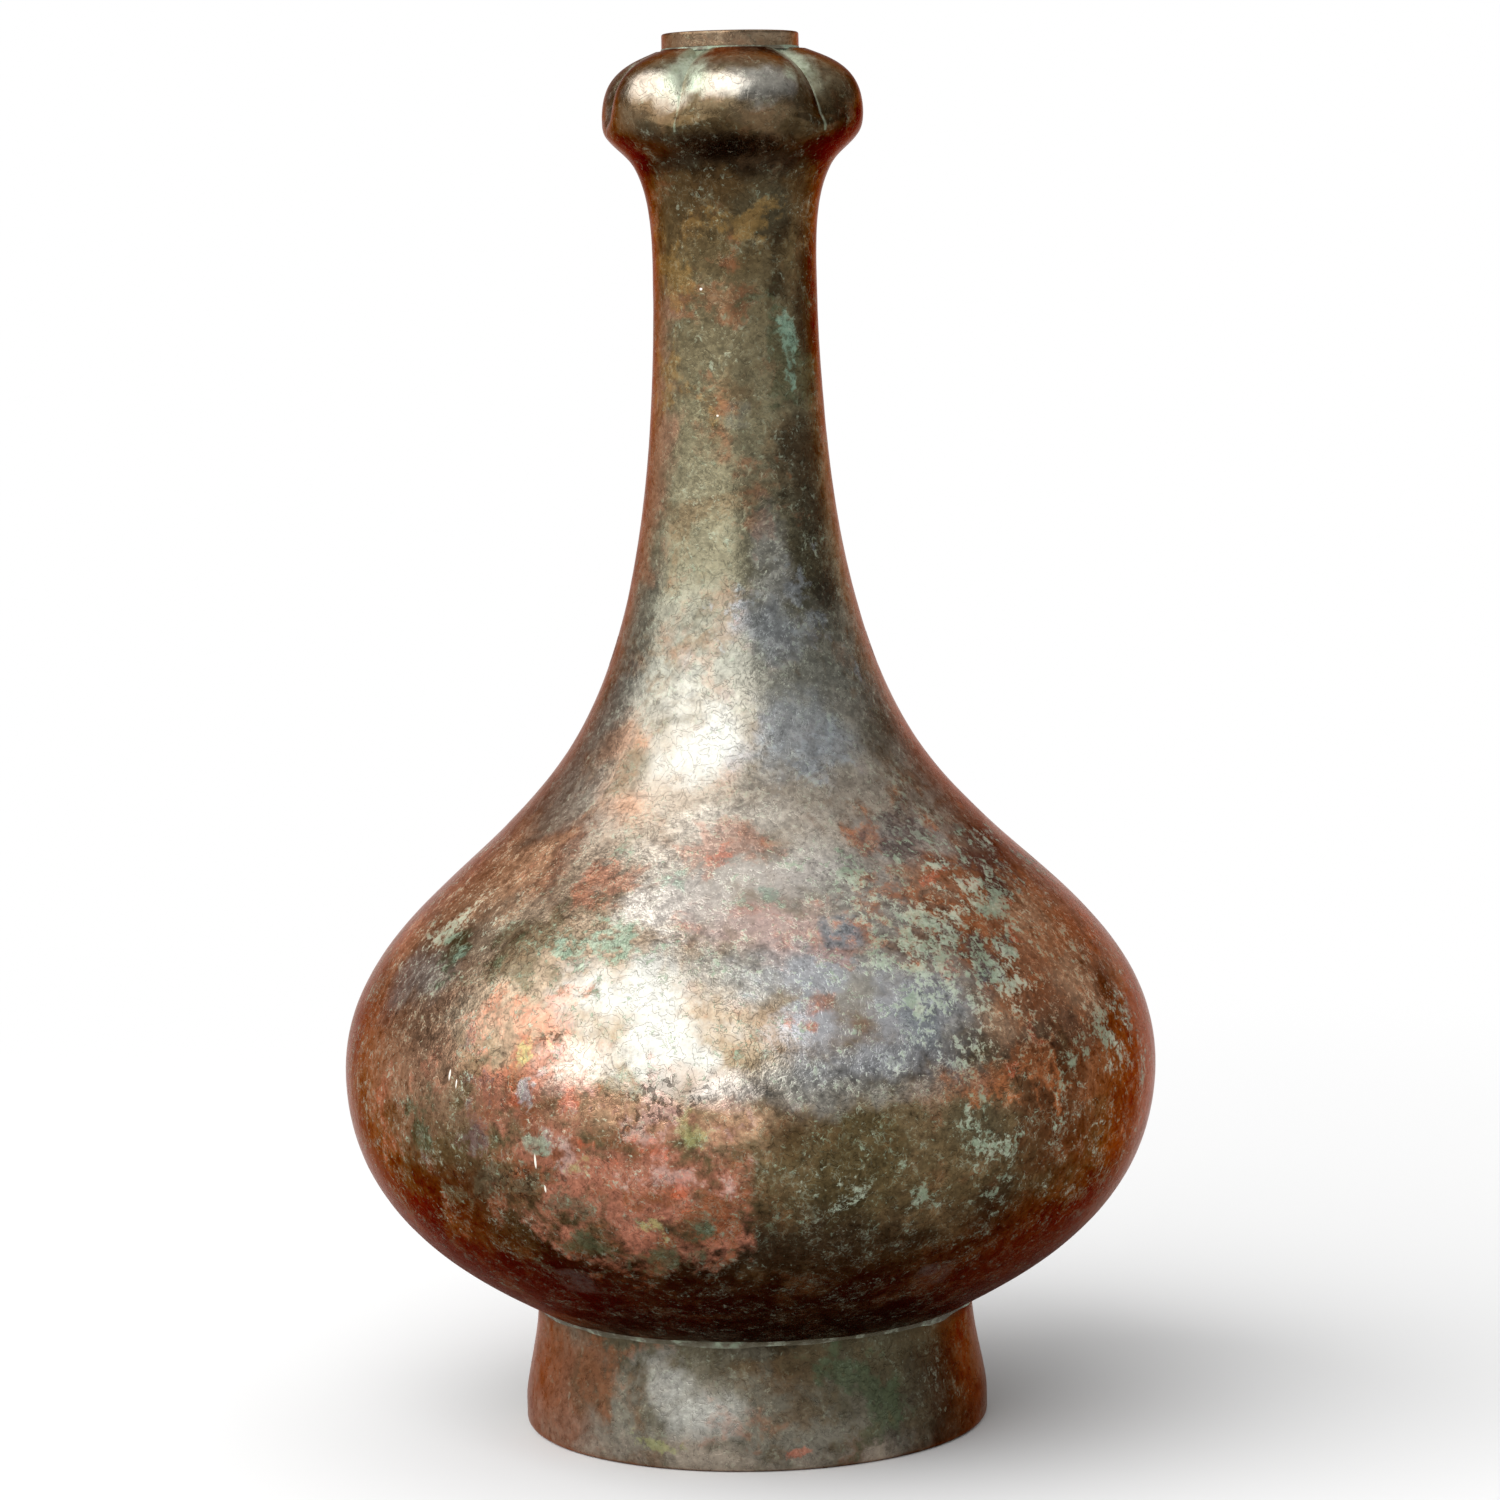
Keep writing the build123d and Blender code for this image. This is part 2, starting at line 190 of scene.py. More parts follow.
def swell(start, start_heading, end, end_heading, pulls, spacing=OUTER_RING):
    """Points of one curve of the profile."""
    chord = (end - start).length
    leaving = start + heading(start_heading) * pulls[0] * chord
    arriving = end - heading(end_heading) * pulls[1] * chord
    return interpolate_bezier(start, leaving, arriving, end, round(chord / spacing) + FEWEST_POINTS)


def seam(point, angle):
    """Places beside a joint: steps along the outer line, depths into the wall."""
    along = heading(angle)
    inward = heading(angle + UPRIGHT)

    def place(step, depth):
        return point + along * step + inward * depth

    return place


def tongue(place, way):
    """Corners of a wall's end that goes into the next section, after its outer edge."""
    return [place(0, TONGUE_DEPTH), place(way * LAP, TONGUE_DEPTH), place(way * LAP, WALL)]


def socket(place, way):
    """Corners of a wall's end that goes over a tongue, from its lining out."""
    bottom = way * (LAP + SOLDER)
    return [place(bottom, WALL), place(bottom, SKIRT), place(0, SKIRT)]


foot_point = flat(FOOT_TOP_RADIUS, FOOT_HEIGHT)
foot_seam = seam(foot_point, BOWL_HEADING)
belly_seam = seam(flat(BELLY_RADIUS, widest_z), UPRIGHT)
turn_seam = seam(flat(TURN_RADIUS, turn_z), TURN_HEADING)
narrow_seam = seam(flat(NECK_RADIUS, narrow_z), UPRIGHT)
root_seam = seam(flat(ROOT_RADIUS, root_z), ROOT_HEADING)
head_widest = flat(HEAD_RADIUS, head_z)
head_seat = flat(SEAT_RADIUS, seat_z)

bowl_line = swell(foot_point, BOWL_HEADING, belly_seam(0, 0), UPRIGHT, BOWL_PULLS)
shoulder_line = swell(belly_seam(0, 0), UPRIGHT, turn_seam(0, 0), TURN_HEADING, SHOULDER_PULLS)
neck_line = swell(turn_seam(0, 0), TURN_HEADING, narrow_seam(0, 0), UPRIGHT, NECK_PULLS)
flare_line = swell(narrow_seam(0, 0), UPRIGHT, root_seam(0, 0), ROOT_HEADING, FLARE_PULLS)
head_line = swell(root_seam(0, 0), ROOT_HEADING, head_widest, UPRIGHT, HEAD_PULLS, OUTER_RING / 3)
dome_line = swell(head_widest, UPRIGHT, head_seat, SEAT_HEADING, DOME_PULLS, OUTER_RING / 3)
core_line = swell(flat(CORE_RADIUS, head_z), UPRIGHT, flat(CORE_SEAT_RADIUS, seat_z), CORE_HEADING,
                  PLAIN_PULLS, OUTER_RING / 3)
band_top = flat(FOOT_BAND_RADIUS, FOOT_BAND_HEIGHT)
foot_line = swell(band_top, UPRIGHT, foot_point - flat(0, FOOT_SEAM), UPRIGHT, FOOT_PULLS)
outer_line = foot_line + bowl_line + shoulder_line + neck_line + flare_line + head_line + dome_line


def radius_at(line, height):
    """Radius of a line, which only rises, at a height."""
    for low, high in zip(line, line[1:]):
        if low.y <= height <= high.y and high.y > low.y:
            return low.x + (high.x - low.x) * (height - low.y) / (high.y - low.y)
    return line[-1].x if height > line[-1].y else line[0].x


def on_wall(angle, height):
    """Point of the outer wall, by its angle in degrees from the front towards +X."""
    radius = radius_at(outer_line, height)
    return Vector((radius * sin(radians(angle)), -radius * cos(radians(angle)), height))


# Turned meshes
def turned(outer, inner, steps):
    """Mesh of a closed outline turned about the axis, with its lining marked."""
    bm = bmesh.new()
    inside = bm.verts.layers.float.new("inside")
    ring = []
    for points, share in ((outer, 0.0), (inner, 1.0)):
        for point in points:
            if ring and (Vector((point.x, 0, point.y)) - ring[-1].co).length < SAME_POINT:
                continue
            ring.append(bm.verts.new((point.x, 0, point.y)))
            ring[-1][inside] = share
    edges = [bm.edges.new(pair) for pair in zip(ring, ring[1:] + ring[:1])]
    angle = 2 * pi / 2 ** DOUBLINGS
    bmesh.ops.spin(bm, geom=ring + edges, cent=(0, 0, 0), axis=(0, 0, 1), angle=angle,
                   steps=steps // 2 ** DOUBLINGS)
    for doubling in range(DOUBLINGS):
        copied = bmesh.ops.duplicate(bm, geom=bm.verts[:] + bm.edges[:] + bm.faces[:])["geom"]
        copied_verts = [part for part in copied if isinstance(part, bmesh.types.BMVert)]
        bmesh.ops.rotate(bm, verts=copied_verts, cent=(0, 0, 0), matrix=Matrix.Rotation(angle, 3, "Z"))
        angle *= 2
    bmesh.ops.remove_doubles(bm, verts=bm.verts, dist=WELD)
    bmesh.ops.recalc_face_normals(bm, faces=bm.faces)
    return bm


def unevenness(point):
    """How far the cast wall lies out from its true line at a point."""
    return sum(depth * noise.noise(point * pitch) for depth, pitch in DENTS)


def make_uneven(bm):
    """Moves the outer wall in or out a little, alike on both sides of a joint."""
    inside = bm.verts.layers.float["inside"]
    for vert in bm.verts:
        radius = hypot(vert.co.x, vert.co.y)
        if vert[inside] == 0 and radius > SOLDER:
            offset = min(unevenness(vert.co), BELLY_RADIUS - radius)
            vert.co.x *= 1 + offset / radius
            vert.co.y *= 1 + offset / radius


def stand_in(name, bm, node, material):
    """Makes a finished mesh the looks of a CAD node."""
    mesh = bpy.data.meshes.new(name)
    bm.to_mesh(mesh)
    bm.free()
    mesh.shade_smooth()
    mesh.set_sharp_from_angle(angle=radians(SHARP_ANGLE))
    mesh.materials.append(material)
    piece = bpy.data.objects.new(name, mesh)
    bpy.context.scene.collection.objects.link(piece)
    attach(piece, "root")
    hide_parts(node)
    return piece


# Sections of the vessel
def above(line, place, step):
    """Points of a lining past a step along a joint."""
    along = place(1, 0) - place(0, 0)
    return [point for point in line if (point - place(0, 0)).dot(along) > step]


def below(line, place, step):
    """Points of a lining short of a step along a joint."""
    along = place(1, 0) - place(0, 0)
    return [point for point in line if (point - place(0, 0)).dot(along) < step]


land_radius = FOOT_TOP_RADIUS - FOOT_WALL
spigot_outer = land_radius - FOOT_SEAM
spigot_inner = spigot_outer - WALL


def land(radius):
    """Point of the bowl's conical underside at a radius."""
    return foot_seam(-(FOOT_TOP_RADIUS - radius) / cos(radians(BOWL_HEADING)), 0)


spigot_bottom = land(spigot_outer).y - FOOT_SPIGOT_DROP
floor_ledge_radius = FLOOR_OPENING_RADIUS + FLOOR_LEDGE


def bowl_mesh():
    lining = swell(foot_seam(0, WALL), BOWL_HEADING, belly_seam(0, WALL), UPRIGHT, BOWL_PULLS, INNER_RING)
    floor_start = flat(floor_ledge_radius, floor_top)
    floor_lining = swell(floor_start, LEVEL, foot_seam(0, WALL), BOWL_HEADING, PLAIN_PULLS, INNER_RING)
    underside_end = flat(floor_ledge_radius, floor_z)
    underside = swell(underside_end, LEVEL, land(spigot_inner), BOWL_HEADING, PLAIN_PULLS, INNER_RING)
    inner = tongue(belly_seam, 1) + lining[::-1] + floor_lining[::-1]
    inner += [flat(FLOOR_OPENING_RADIUS, floor_top), flat(FLOOR_OPENING_RADIUS, ledge_z),
              flat(floor_ledge_radius, ledge_z)]
    inner += underside
    inner += [flat(spigot_inner, spigot_bottom), flat(spigot_outer, spigot_bottom), land(spigot_outer)]
    return turned(bowl_line, inner, BELLY_STEPS)


def shoulder_mesh():
    lining = swell(belly_seam(0, WALL), UPRIGHT, turn_seam(0, WALL), TURN_HEADING, SHOULDER_PULLS,
                   INNER_RING)
    inner = tongue(turn_seam, 1) + above(lining, belly_seam, LAP + SOLDER)[::-1] + socket(belly_seam, 1)
    return turned(shoulder_line, inner, BELLY_STEPS)


def neck_mesh():
    flare = swell(narrow_seam(0, WALL), UPRIGHT, root_seam(0, WALL), ROOT_HEADING, FLARE_PULLS, INNER_RING)
    tube = swell(turn_seam(0, WALL), TURN_HEADING, narrow_seam(0, WALL), UPRIGHT, NECK_PULLS, INNER_RING)
    inner = socket(root_seam, -1)[::-1] + below(flare, root_seam, -LAP - SOLDER)[::-1]
    inner += above(tube, turn_seam, LAP + SOLDER)[::-1] + socket(turn_seam, 1)
    return turned(neck_line + flare_line, inner, NECK_STEPS)


groove_start_z = head_line[round(GROOVE_FOOT * (len(head_line) - 1))].y
groove_angles = [FIRST_GROOVE + sum(CLOVE_SPANS[:index]) for index in range(len(CLOVE_SPANS))]


def clove_radius(crest, height, angle):
    """Radius of the lobed head at a height and a polar angle, where its crests have a given radius."""
    climb = (height - groove_start_z) / (seat_z - groove_start_z)
    valley = crest * (1 - GROOVE_SHARE * climb ** GROOVE_SPREAD * min(1, climb / GROOVE_EASE))
    turn = (angle - FIRST_GROOVE) % 360
    for span in CLOVE_SPANS:
        if turn <= span:
            break
        turn -= span
    centre = (crest ** 2 - valley ** 2) / (2 * (crest - valley * cos(radians(span / 2))))
    across = centre * sin(radians(turn - span / 2))
    along = centre * cos(radians(turn - span / 2))
    return along + sqrt((crest - centre) ** 2 - across ** 2)


def head_mesh():
    hole_radius = MOUTH_RADIUS + SPIGOT_WALL + SOLDER
    widest = flat(HEAD_RADIUS - HEAD_WALL, head_z)
    top = flat(CAVITY_TOP_RADIUS, seat_z - COLLAR_HEIGHT)
    rise = swell(root_seam(0, WALL), ROOT_HEADING, widest, UPRIGHT, HEAD_PULLS, INNER_RING)
    close = swell(widest, UPRIGHT, top, SEAT_HEADING, PLAIN_PULLS, INNER_RING)
    inner = [flat(hole_radius, seat_z), flat(hole_radius, top.y)]
    inner += close[::-1] + rise[::-1] + tongue(root_seam, -1)[::-1]
    bm = turned(head_line + dome_line, inner, HEAD_STEPS)
    inside = bm.verts.layers.float["inside"]
    groove = bm.verts.layers.float.new("groove")
    crease = bm.verts.layers.float.new("crease")
    for vert in bm.verts:
        if vert[inside] == 0 and vert.co.z > groove_start_z:
            crest = hypot(vert.co.x, vert.co.y)
            angle = degrees(atan2(vert.co.y, vert.co.x))
            radius = clove_radius(crest, vert.co.z, angle)
            nearest = min(abs((angle - line + 180) % 360 - 180) for line in groove_angles)
            vert[crease] = max(0, 1 - nearest / CREASE_REACH)
            if vert.co.z > head_z:
                radius = max(radius, radius_at(core_line, vert.co.z))
            vert[groove] = 1 - radius / crest
            vert.co.x *= radius / crest
            vert.co.y *= radius / crest
    return bm


def rounded(corner, before, after, size):
    """Points of a round in place of a corner of the outline."""
    start = corner + (before - corner).normalized() * size
    end = corner + (after - corner).normalized() * size
    return interpolate_bezier(start, start.lerp(corner, ROUND_PULL), end.lerp(corner, ROUND_PULL), end,
                              ROUND_POINTS)


def lip_mesh():
    spigot_radius = MOUTH_RADIUS + SPIGOT_WALL
    spigot_z = seat_z - SPIGOT_LENGTH
    foot = flat(LIP_RADIUS, lip_z)
    edge = flat(LIP_RADIUS, top_z)
    mouth = flat(MOUTH_RADIUS, top_z)
    wall = [foot.lerp(edge, share / 4) for share in range(4)]
    outer = [flat(spigot_radius, lip_z)] + wall + rounded(edge, foot, mouth, LIP_ROUND)
    inner = rounded(mouth, edge, flat(MOUTH_RADIUS, spigot_z), LIP_ROUND)
    inner += [flat(MOUTH_RADIUS, spigot_z), flat(spigot_radius, spigot_z)]
    return turned(outer, inner, LIP_STEPS)


def foot_mesh():
    rim_outer = flat(FOOT_BAND_RADIUS, 0)
    rim_inner = flat(FOOT_BAND_RADIUS - FOOT_RIM, 0)
    band = [rim_outer.lerp(band_top, share / 5) for share in range(2, 5)]
    sunk_land = land(land_radius) - flat(0, FOOT_SEAM)
    inner_top = flat(land_radius, spigot_bottom)
    outer = rounded(rim_outer, rim_inner, band_top, FOOT_EDGE_ROUND) + band + foot_line
    inner = [sunk_land] + swell(inner_top, -UPRIGHT, rim_inner, -UPRIGHT, PLAIN_PULLS, INNER_RING)
    return turned(outer, inner, BELLY_STEPS)


def floor_mesh():
    flange_radius = floor_ledge_radius - SOLDER
    boss_radius = FLOOR_OPENING_RADIUS - SOLDER
    flange_top = ledge_z - SOLDER
    count = round(flange_radius / INNER_RING)
    under = [flat(flange_radius * share / count, floor_z) for share in range(count + 1)]
    over = [flat(boss_radius * (1 - share / count), floor_top) for share in range(count + 1)]
    inner = [flat(flange_radius, flange_top), flat(boss_radius, flange_top)] + over
    return turned(under, inner, LIP_STEPS)


def point_along(line, distance):
    """Point of a profile line at a distance along it."""
    for start, end in zip(line, line[1:]):
        step = (end - start).length
        if distance <= step:
            break
        distance -= step
    return start.lerp(end, distance / step)


def chaplet_mesh(line, rows, side, showing):
    """Thin squarish plates that lie on the wall, in rows round it."""
    length = sum((end - start).length for start, end in zip(line, line[1:]))
    bm = bmesh.new()
    spacer = bm.verts.layers.float.new("spacer")
    for share, count, first in rows:
        for index in range(count):
            middle = radians(first + index * 360 / count)
            bare = showing if -sin(middle) > cos(radians(CHAPLET_FRONT)) else CHAPLET_COVERED
            plate = bmesh.ops.create_grid(bm, x_segments=CHAPLET_CELLS, y_segments=CHAPLET_CELLS, size=1.0)
            for vert in plate["verts"]:
                across, up = vert.co.xy
                vert[spacer] = bare * (1 - max(abs(across), abs(up)) ** CHAPLET_FADE)
                wander = noise.noise((across * CHAPLET_SWELLS + middle, up * CHAPLET_SWELLS, share))
                bend = 1 + CHAPLET_WANDER * wander
                across *= bend * (1 - CHAPLET_CORNER * up ** 2) * side / 2
                up *= bend * (1 - CHAPLET_CORNER * vert.co.x ** 2) * side / 2
                point = point_along(line, share * length + up)
                angle = middle + across / point.x
                spot = Vector((point.x * cos(angle), point.x * sin(angle), point.y))
                out = min(unevenness(spot) + CHAPLET_PROUD, BELLY_RADIUS - point.x)
                vert.co = spot + Vector((cos(angle), sin(angle), 0)) * out
    back = bmesh.ops.extrude_face_region(bm, geom=bm.faces[:], use_keep_orig=True)["geom"]
    for vert in (part for part in back if isinstance(part, bmesh.types.BMVert)):
        radius = hypot(vert.co.x, vert.co.y)
        vert.co.x *= 1 - CHAPLET_DEPTH / radius
        vert.co.y *= 1 - CHAPLET_DEPTH / radius
    bmesh.ops.recalc_face_normals(bm, faces=bm.faces)
    return bm


def fillet_mesh(corner, low, high, steps):
    """Uneven ring of solder in a corner of the outline, from one face to the other."""
    way = (low.lerp(high, 0.5) - corner).normalized()
    outer = interpolate_bezier(low, low.lerp(corner, FILLET_PULL), high.lerp(corner, FILLET_PULL), high,
                               FILLET_POINTS)
    bm = turned(outer, [corner - way * FILLET_SINK], steps)
    inside = bm.verts.layers.float["inside"]
    for vert in bm.verts:
        if vert[inside] == 0:
            radius = hypot(vert.co.x, vert.co.y)
            swelling = FILLET_SWELL * noise.noise(vert.co * FILLET_PITCH)
            vert.co.x *= 1 + swelling * way.x / radius
            vert.co.y *= 1 + swelling * way.x / radius
            vert.co.z += swelling * way.y
    return bm


def foot_fillet():
    low = foot_point - flat(FILLET_SINK / 2, FILLET_REACH)
    return fillet_mesh(foot_point, low, foot_seam(FILLET_REACH, FILLET_SINK / 2), BELLY_STEPS)


def mouth_fillet():
    corner = flat(LIP_RADIUS, seat_z)
    low = corner + flat(FILLET_REACH / 2, -FILLET_REACH / 3)
    return fillet_mesh(corner, low, corner + flat(-FILLET_SINK / 2, FILLET_REACH * 0.7), LIP_STEPS)


# Shader maths
class Wire:
    """A socket's value in a finish, with arithmetic that adds Math nodes."""

    def __init__(self, finish, plug):
        self.finish = finish
        self.plug = plug

    def math(self, operation, *others):
        return self.finish.node("ShaderNodeMath", {"operation": operation},
                                dict(enumerate((self,) + others)))

    def __add__(self, other):
        return self.math("ADD", other)

    def __sub__(self, other):
        return self.math("SUBTRACT", other)

    def __mul__(self, other):
        return self.math("MULTIPLY", other)

    def __rsub__(self, other):
        return self.finish.node("ShaderNodeMath", {"operation": "SUBTRACT"}, {0: other, 1: self})

    __radd__ = __add__
    __rmul__ = __mul__

    def most(self, other):
        return self.math("MAXIMUM", other)

    def step(self, low, high):
        """Smooth rise from 0 at low to 1 at high."""
        return self.finish.node("ShaderNodeMapRange", {"interpolation_type": "SMOOTHSTEP"},
                                {"Value": self, "From Min": low, "From Max": high})


MIDDLE = (0.5, 0.5, 0.5)
# Heights over widths that patches are drawn with, and how far beyond a piece they are still looked for
ASPECTS = (0.3, 0.5, 0.8, 1.2, 2.0, 4.0, 10.0)
EDGE_REACH = 30 * MM


class Finish:
    """Nodes of a material, or of the surround, under construction."""

    def __init__(self, owner, coordinates="Object", low=0.0, high=top_z):
        self.owner = owner
        self.low = low
        self.high = high
        owner.use_nodes = True
        self.tree = owner.node_tree
        self.tree.nodes.clear()
        self.place = self.node("ShaderNodeTexCoord", {}, {}, coordinates)

    def node(self, kind, settings, sockets, output=0):
        """Adds a node: its settings first, then the values or links of its sockets."""
        node = self.tree.nodes.new(kind)
        for key, value in settings.items():
            if key == "stops":
                self.set_stops(node.color_ramp.elements, value)
            else:
                setattr(node, key, value)
        for key, value in sockets.items():
            if isinstance(value, Wire):
                self.tree.links.new(value.plug, node.inputs[key])
            else:
                node.inputs[key].default_value = value
        return Wire(self, node.outputs[output]) if node.outputs else None

    def set_stops(self, elements, stops):
        """Gives a ramp its stops, each a position and a colour."""
        while len(elements) < len(stops):
            elements.new(1.0)
        for element, (position, colour) in zip(elements, stops):
            element.position = position
            element.color = colour

    def vector(self, operation, first, second):
        return self.node("ShaderNodeVectorMath", {"operation": operation}, {0: first, 1: second})

    def scaled(self, vector, share):
        """Vector or colour times a number."""
        return self.node("ShaderNodeVectorMath", {"operation": "SCALE"}, {0: vector, "Scale": share})

    def noise(self, pitch, detail, roughness, distortion=0.0, seed=0.0):
        """Clouds about zero."""
        place = self.place
        if seed:
            place = self.vector("ADD", place, (seed, seed, seed))
        return self.node("ShaderNodeTexNoise", {"normalize": False},
                         {"Vector": place, "Scale": pitch, "Detail": detail, "Roughness": roughness,
                          "Distortion": distortion})

    def mix(self, share, under, over):
        """Colour between two colours."""
        return self.node("ShaderNodeMix", {"data_type": "RGBA"}, {0: share, 6: under, 7: over}, 2)

    def shifted(self, pitch, reach, detail):
        """Coordinates pushed about by noise."""
        sockets = {"Vector": self.place, "Scale": pitch, "Detail": detail}
        colour = self.node("ShaderNodeTexNoise", {}, sockets, "Color")
        return self.vector("ADD", self.place, self.scaled(self.vector("SUBTRACT", colour, MIDDLE), reach))

    def spots(self, patches, place):
        """Nearness to patches: 1 amid one, 0 at its edge, less outside. None, if all are far off."""
        low = (self.low - EDGE_REACH) / MM
        high = (self.high + EDGE_REACH) / MM
        places = {}
        near = None
        for angle, height, wide, tall in (patch for patch in patches if low < patch[1] < high):
            aspect = min(ASPECTS, key=lambda shape: abs(shape - tall / wide))
            if aspect not in places:
                places[aspect] = self.vector("MULTIPLY", place, (1.0, 1.0, 1.0 / aspect))
            centre = on_wall(angle, height * MM)
            centre.z /= aspect
            ends = {0: places[aspect], 1: centre}
            distance = self.node("ShaderNodeVectorMath", {"operation": "DISTANCE"}, ends, "Value")
            inset = distance.math("MULTIPLY_ADD", -1 / (sqrt(wide * tall / aspect) * MM), 1.0)
            near = inset if near is None else near.most(inset)
        return near

    def bump(self, relief):
        """Normal of a surface with a relief in millimetres."""
        return self.node("ShaderNodeBump", {}, {"Strength": 1.0, "Distance": 1.0, "Height": relief * MM})

    def shade(self, sockets):
        """Ends the finish with a metal or mineral surface."""
        shader = self.node("ShaderNodeBsdfPrincipled", {}, sockets)
        self.node("ShaderNodeOutputMaterial", {}, {"Surface": shader})
        return self.owner


def tone(red, green, blue):
    """Linear colour from the 0 to 255 values of a paint chart."""
    values = [channel / 255 for channel in (red, green, blue)]
    linear = [v / 12.92 if v <= 0.04045 else ((v + 0.055) / 1.055) ** 2.4 for v in values]
    return (*linear, 1.0)


# Patina tones
BROWN = tone(112, 86, 60)
RED_BROWN = tone(130, 77, 51)
GREY_AND_HIGHLIGHT = tone(164, 163, 156)
PALE_GREY_AND_HIGHLIGHT = tone(190, 181, 168)
PEARL_AND_HIGHLIGHT = tone(222, 214, 206)
LAVENDER_AND_REFLECTION = tone(180, 182, 186)
FAWN = tone(222, 178, 142)
SIENNA = tone(154, 120, 97)
ROSE = tone(212, 186, 178)
CUPRITE = tone(174, 113, 91)
VERMILION = tone(190, 98, 70)
RUST = tone(170, 102, 62)
MAROON = tone(78, 48, 28)
SLATE = tone(146, 151, 155)
DUSK = tone(92, 80, 78)
CRUST = tone(188, 202, 179)
SAGE = tone(140, 161, 136)
TURQUOISE = tone(122, 152, 134)
FERN = tone(62, 74, 54)
MOSS = tone(150, 152, 100)
UMBER = tone(80, 74, 56)
OCHRE = tone(138, 108, 60)
OLIVE = tone(76, 65, 41)
SOOT_AND_SHADE = tone(38, 28, 18)
LINING = tone(70, 74, 56)
EARTH = tone(112, 104, 78)
PEWTER = tone(112, 108, 94)
CHALK = tone(240, 236, 222)
RIM_TINT = tone(220, 164, 150)

# Ground tone of the wall by height in millimetres; its dark bands at the top of the foot and low on the
# belly (32 to 70) and under the garlic head (334 to 350) are painted shade
GROUND_AND_SHADE = (
    (0, tone(158, 146, 131)), (3, tone(142, 132, 118)), (8, tone(118, 113, 101)),
    (24, tone(106, 100, 86)), (32, tone(66, 61, 50)), (34, tone(36, 27, 17)),
    (58, tone(31, 23, 13)), (70, tone(64, 52, 34)), (84, tone(90, 75, 51)),
    (104, tone(112, 95, 69)), (122, tone(138, 123, 104)), (150, tone(150, 132, 112)),
    (172, tone(150, 140, 127)), (205, tone(136, 135, 124)), (235, tone(118, 113, 93)),
    (275, tone(122, 114, 89)), (315, tone(96, 81, 55)), (334, tone(76, 58, 35)),
    (340, tone(36, 25, 14)), (345, tone(44, 32, 18)), (350, tone(74, 60, 39)),
    (364, tone(112, 99, 78)), (367, tone(104, 88, 68)), (372, tone(126, 108, 88)),
)

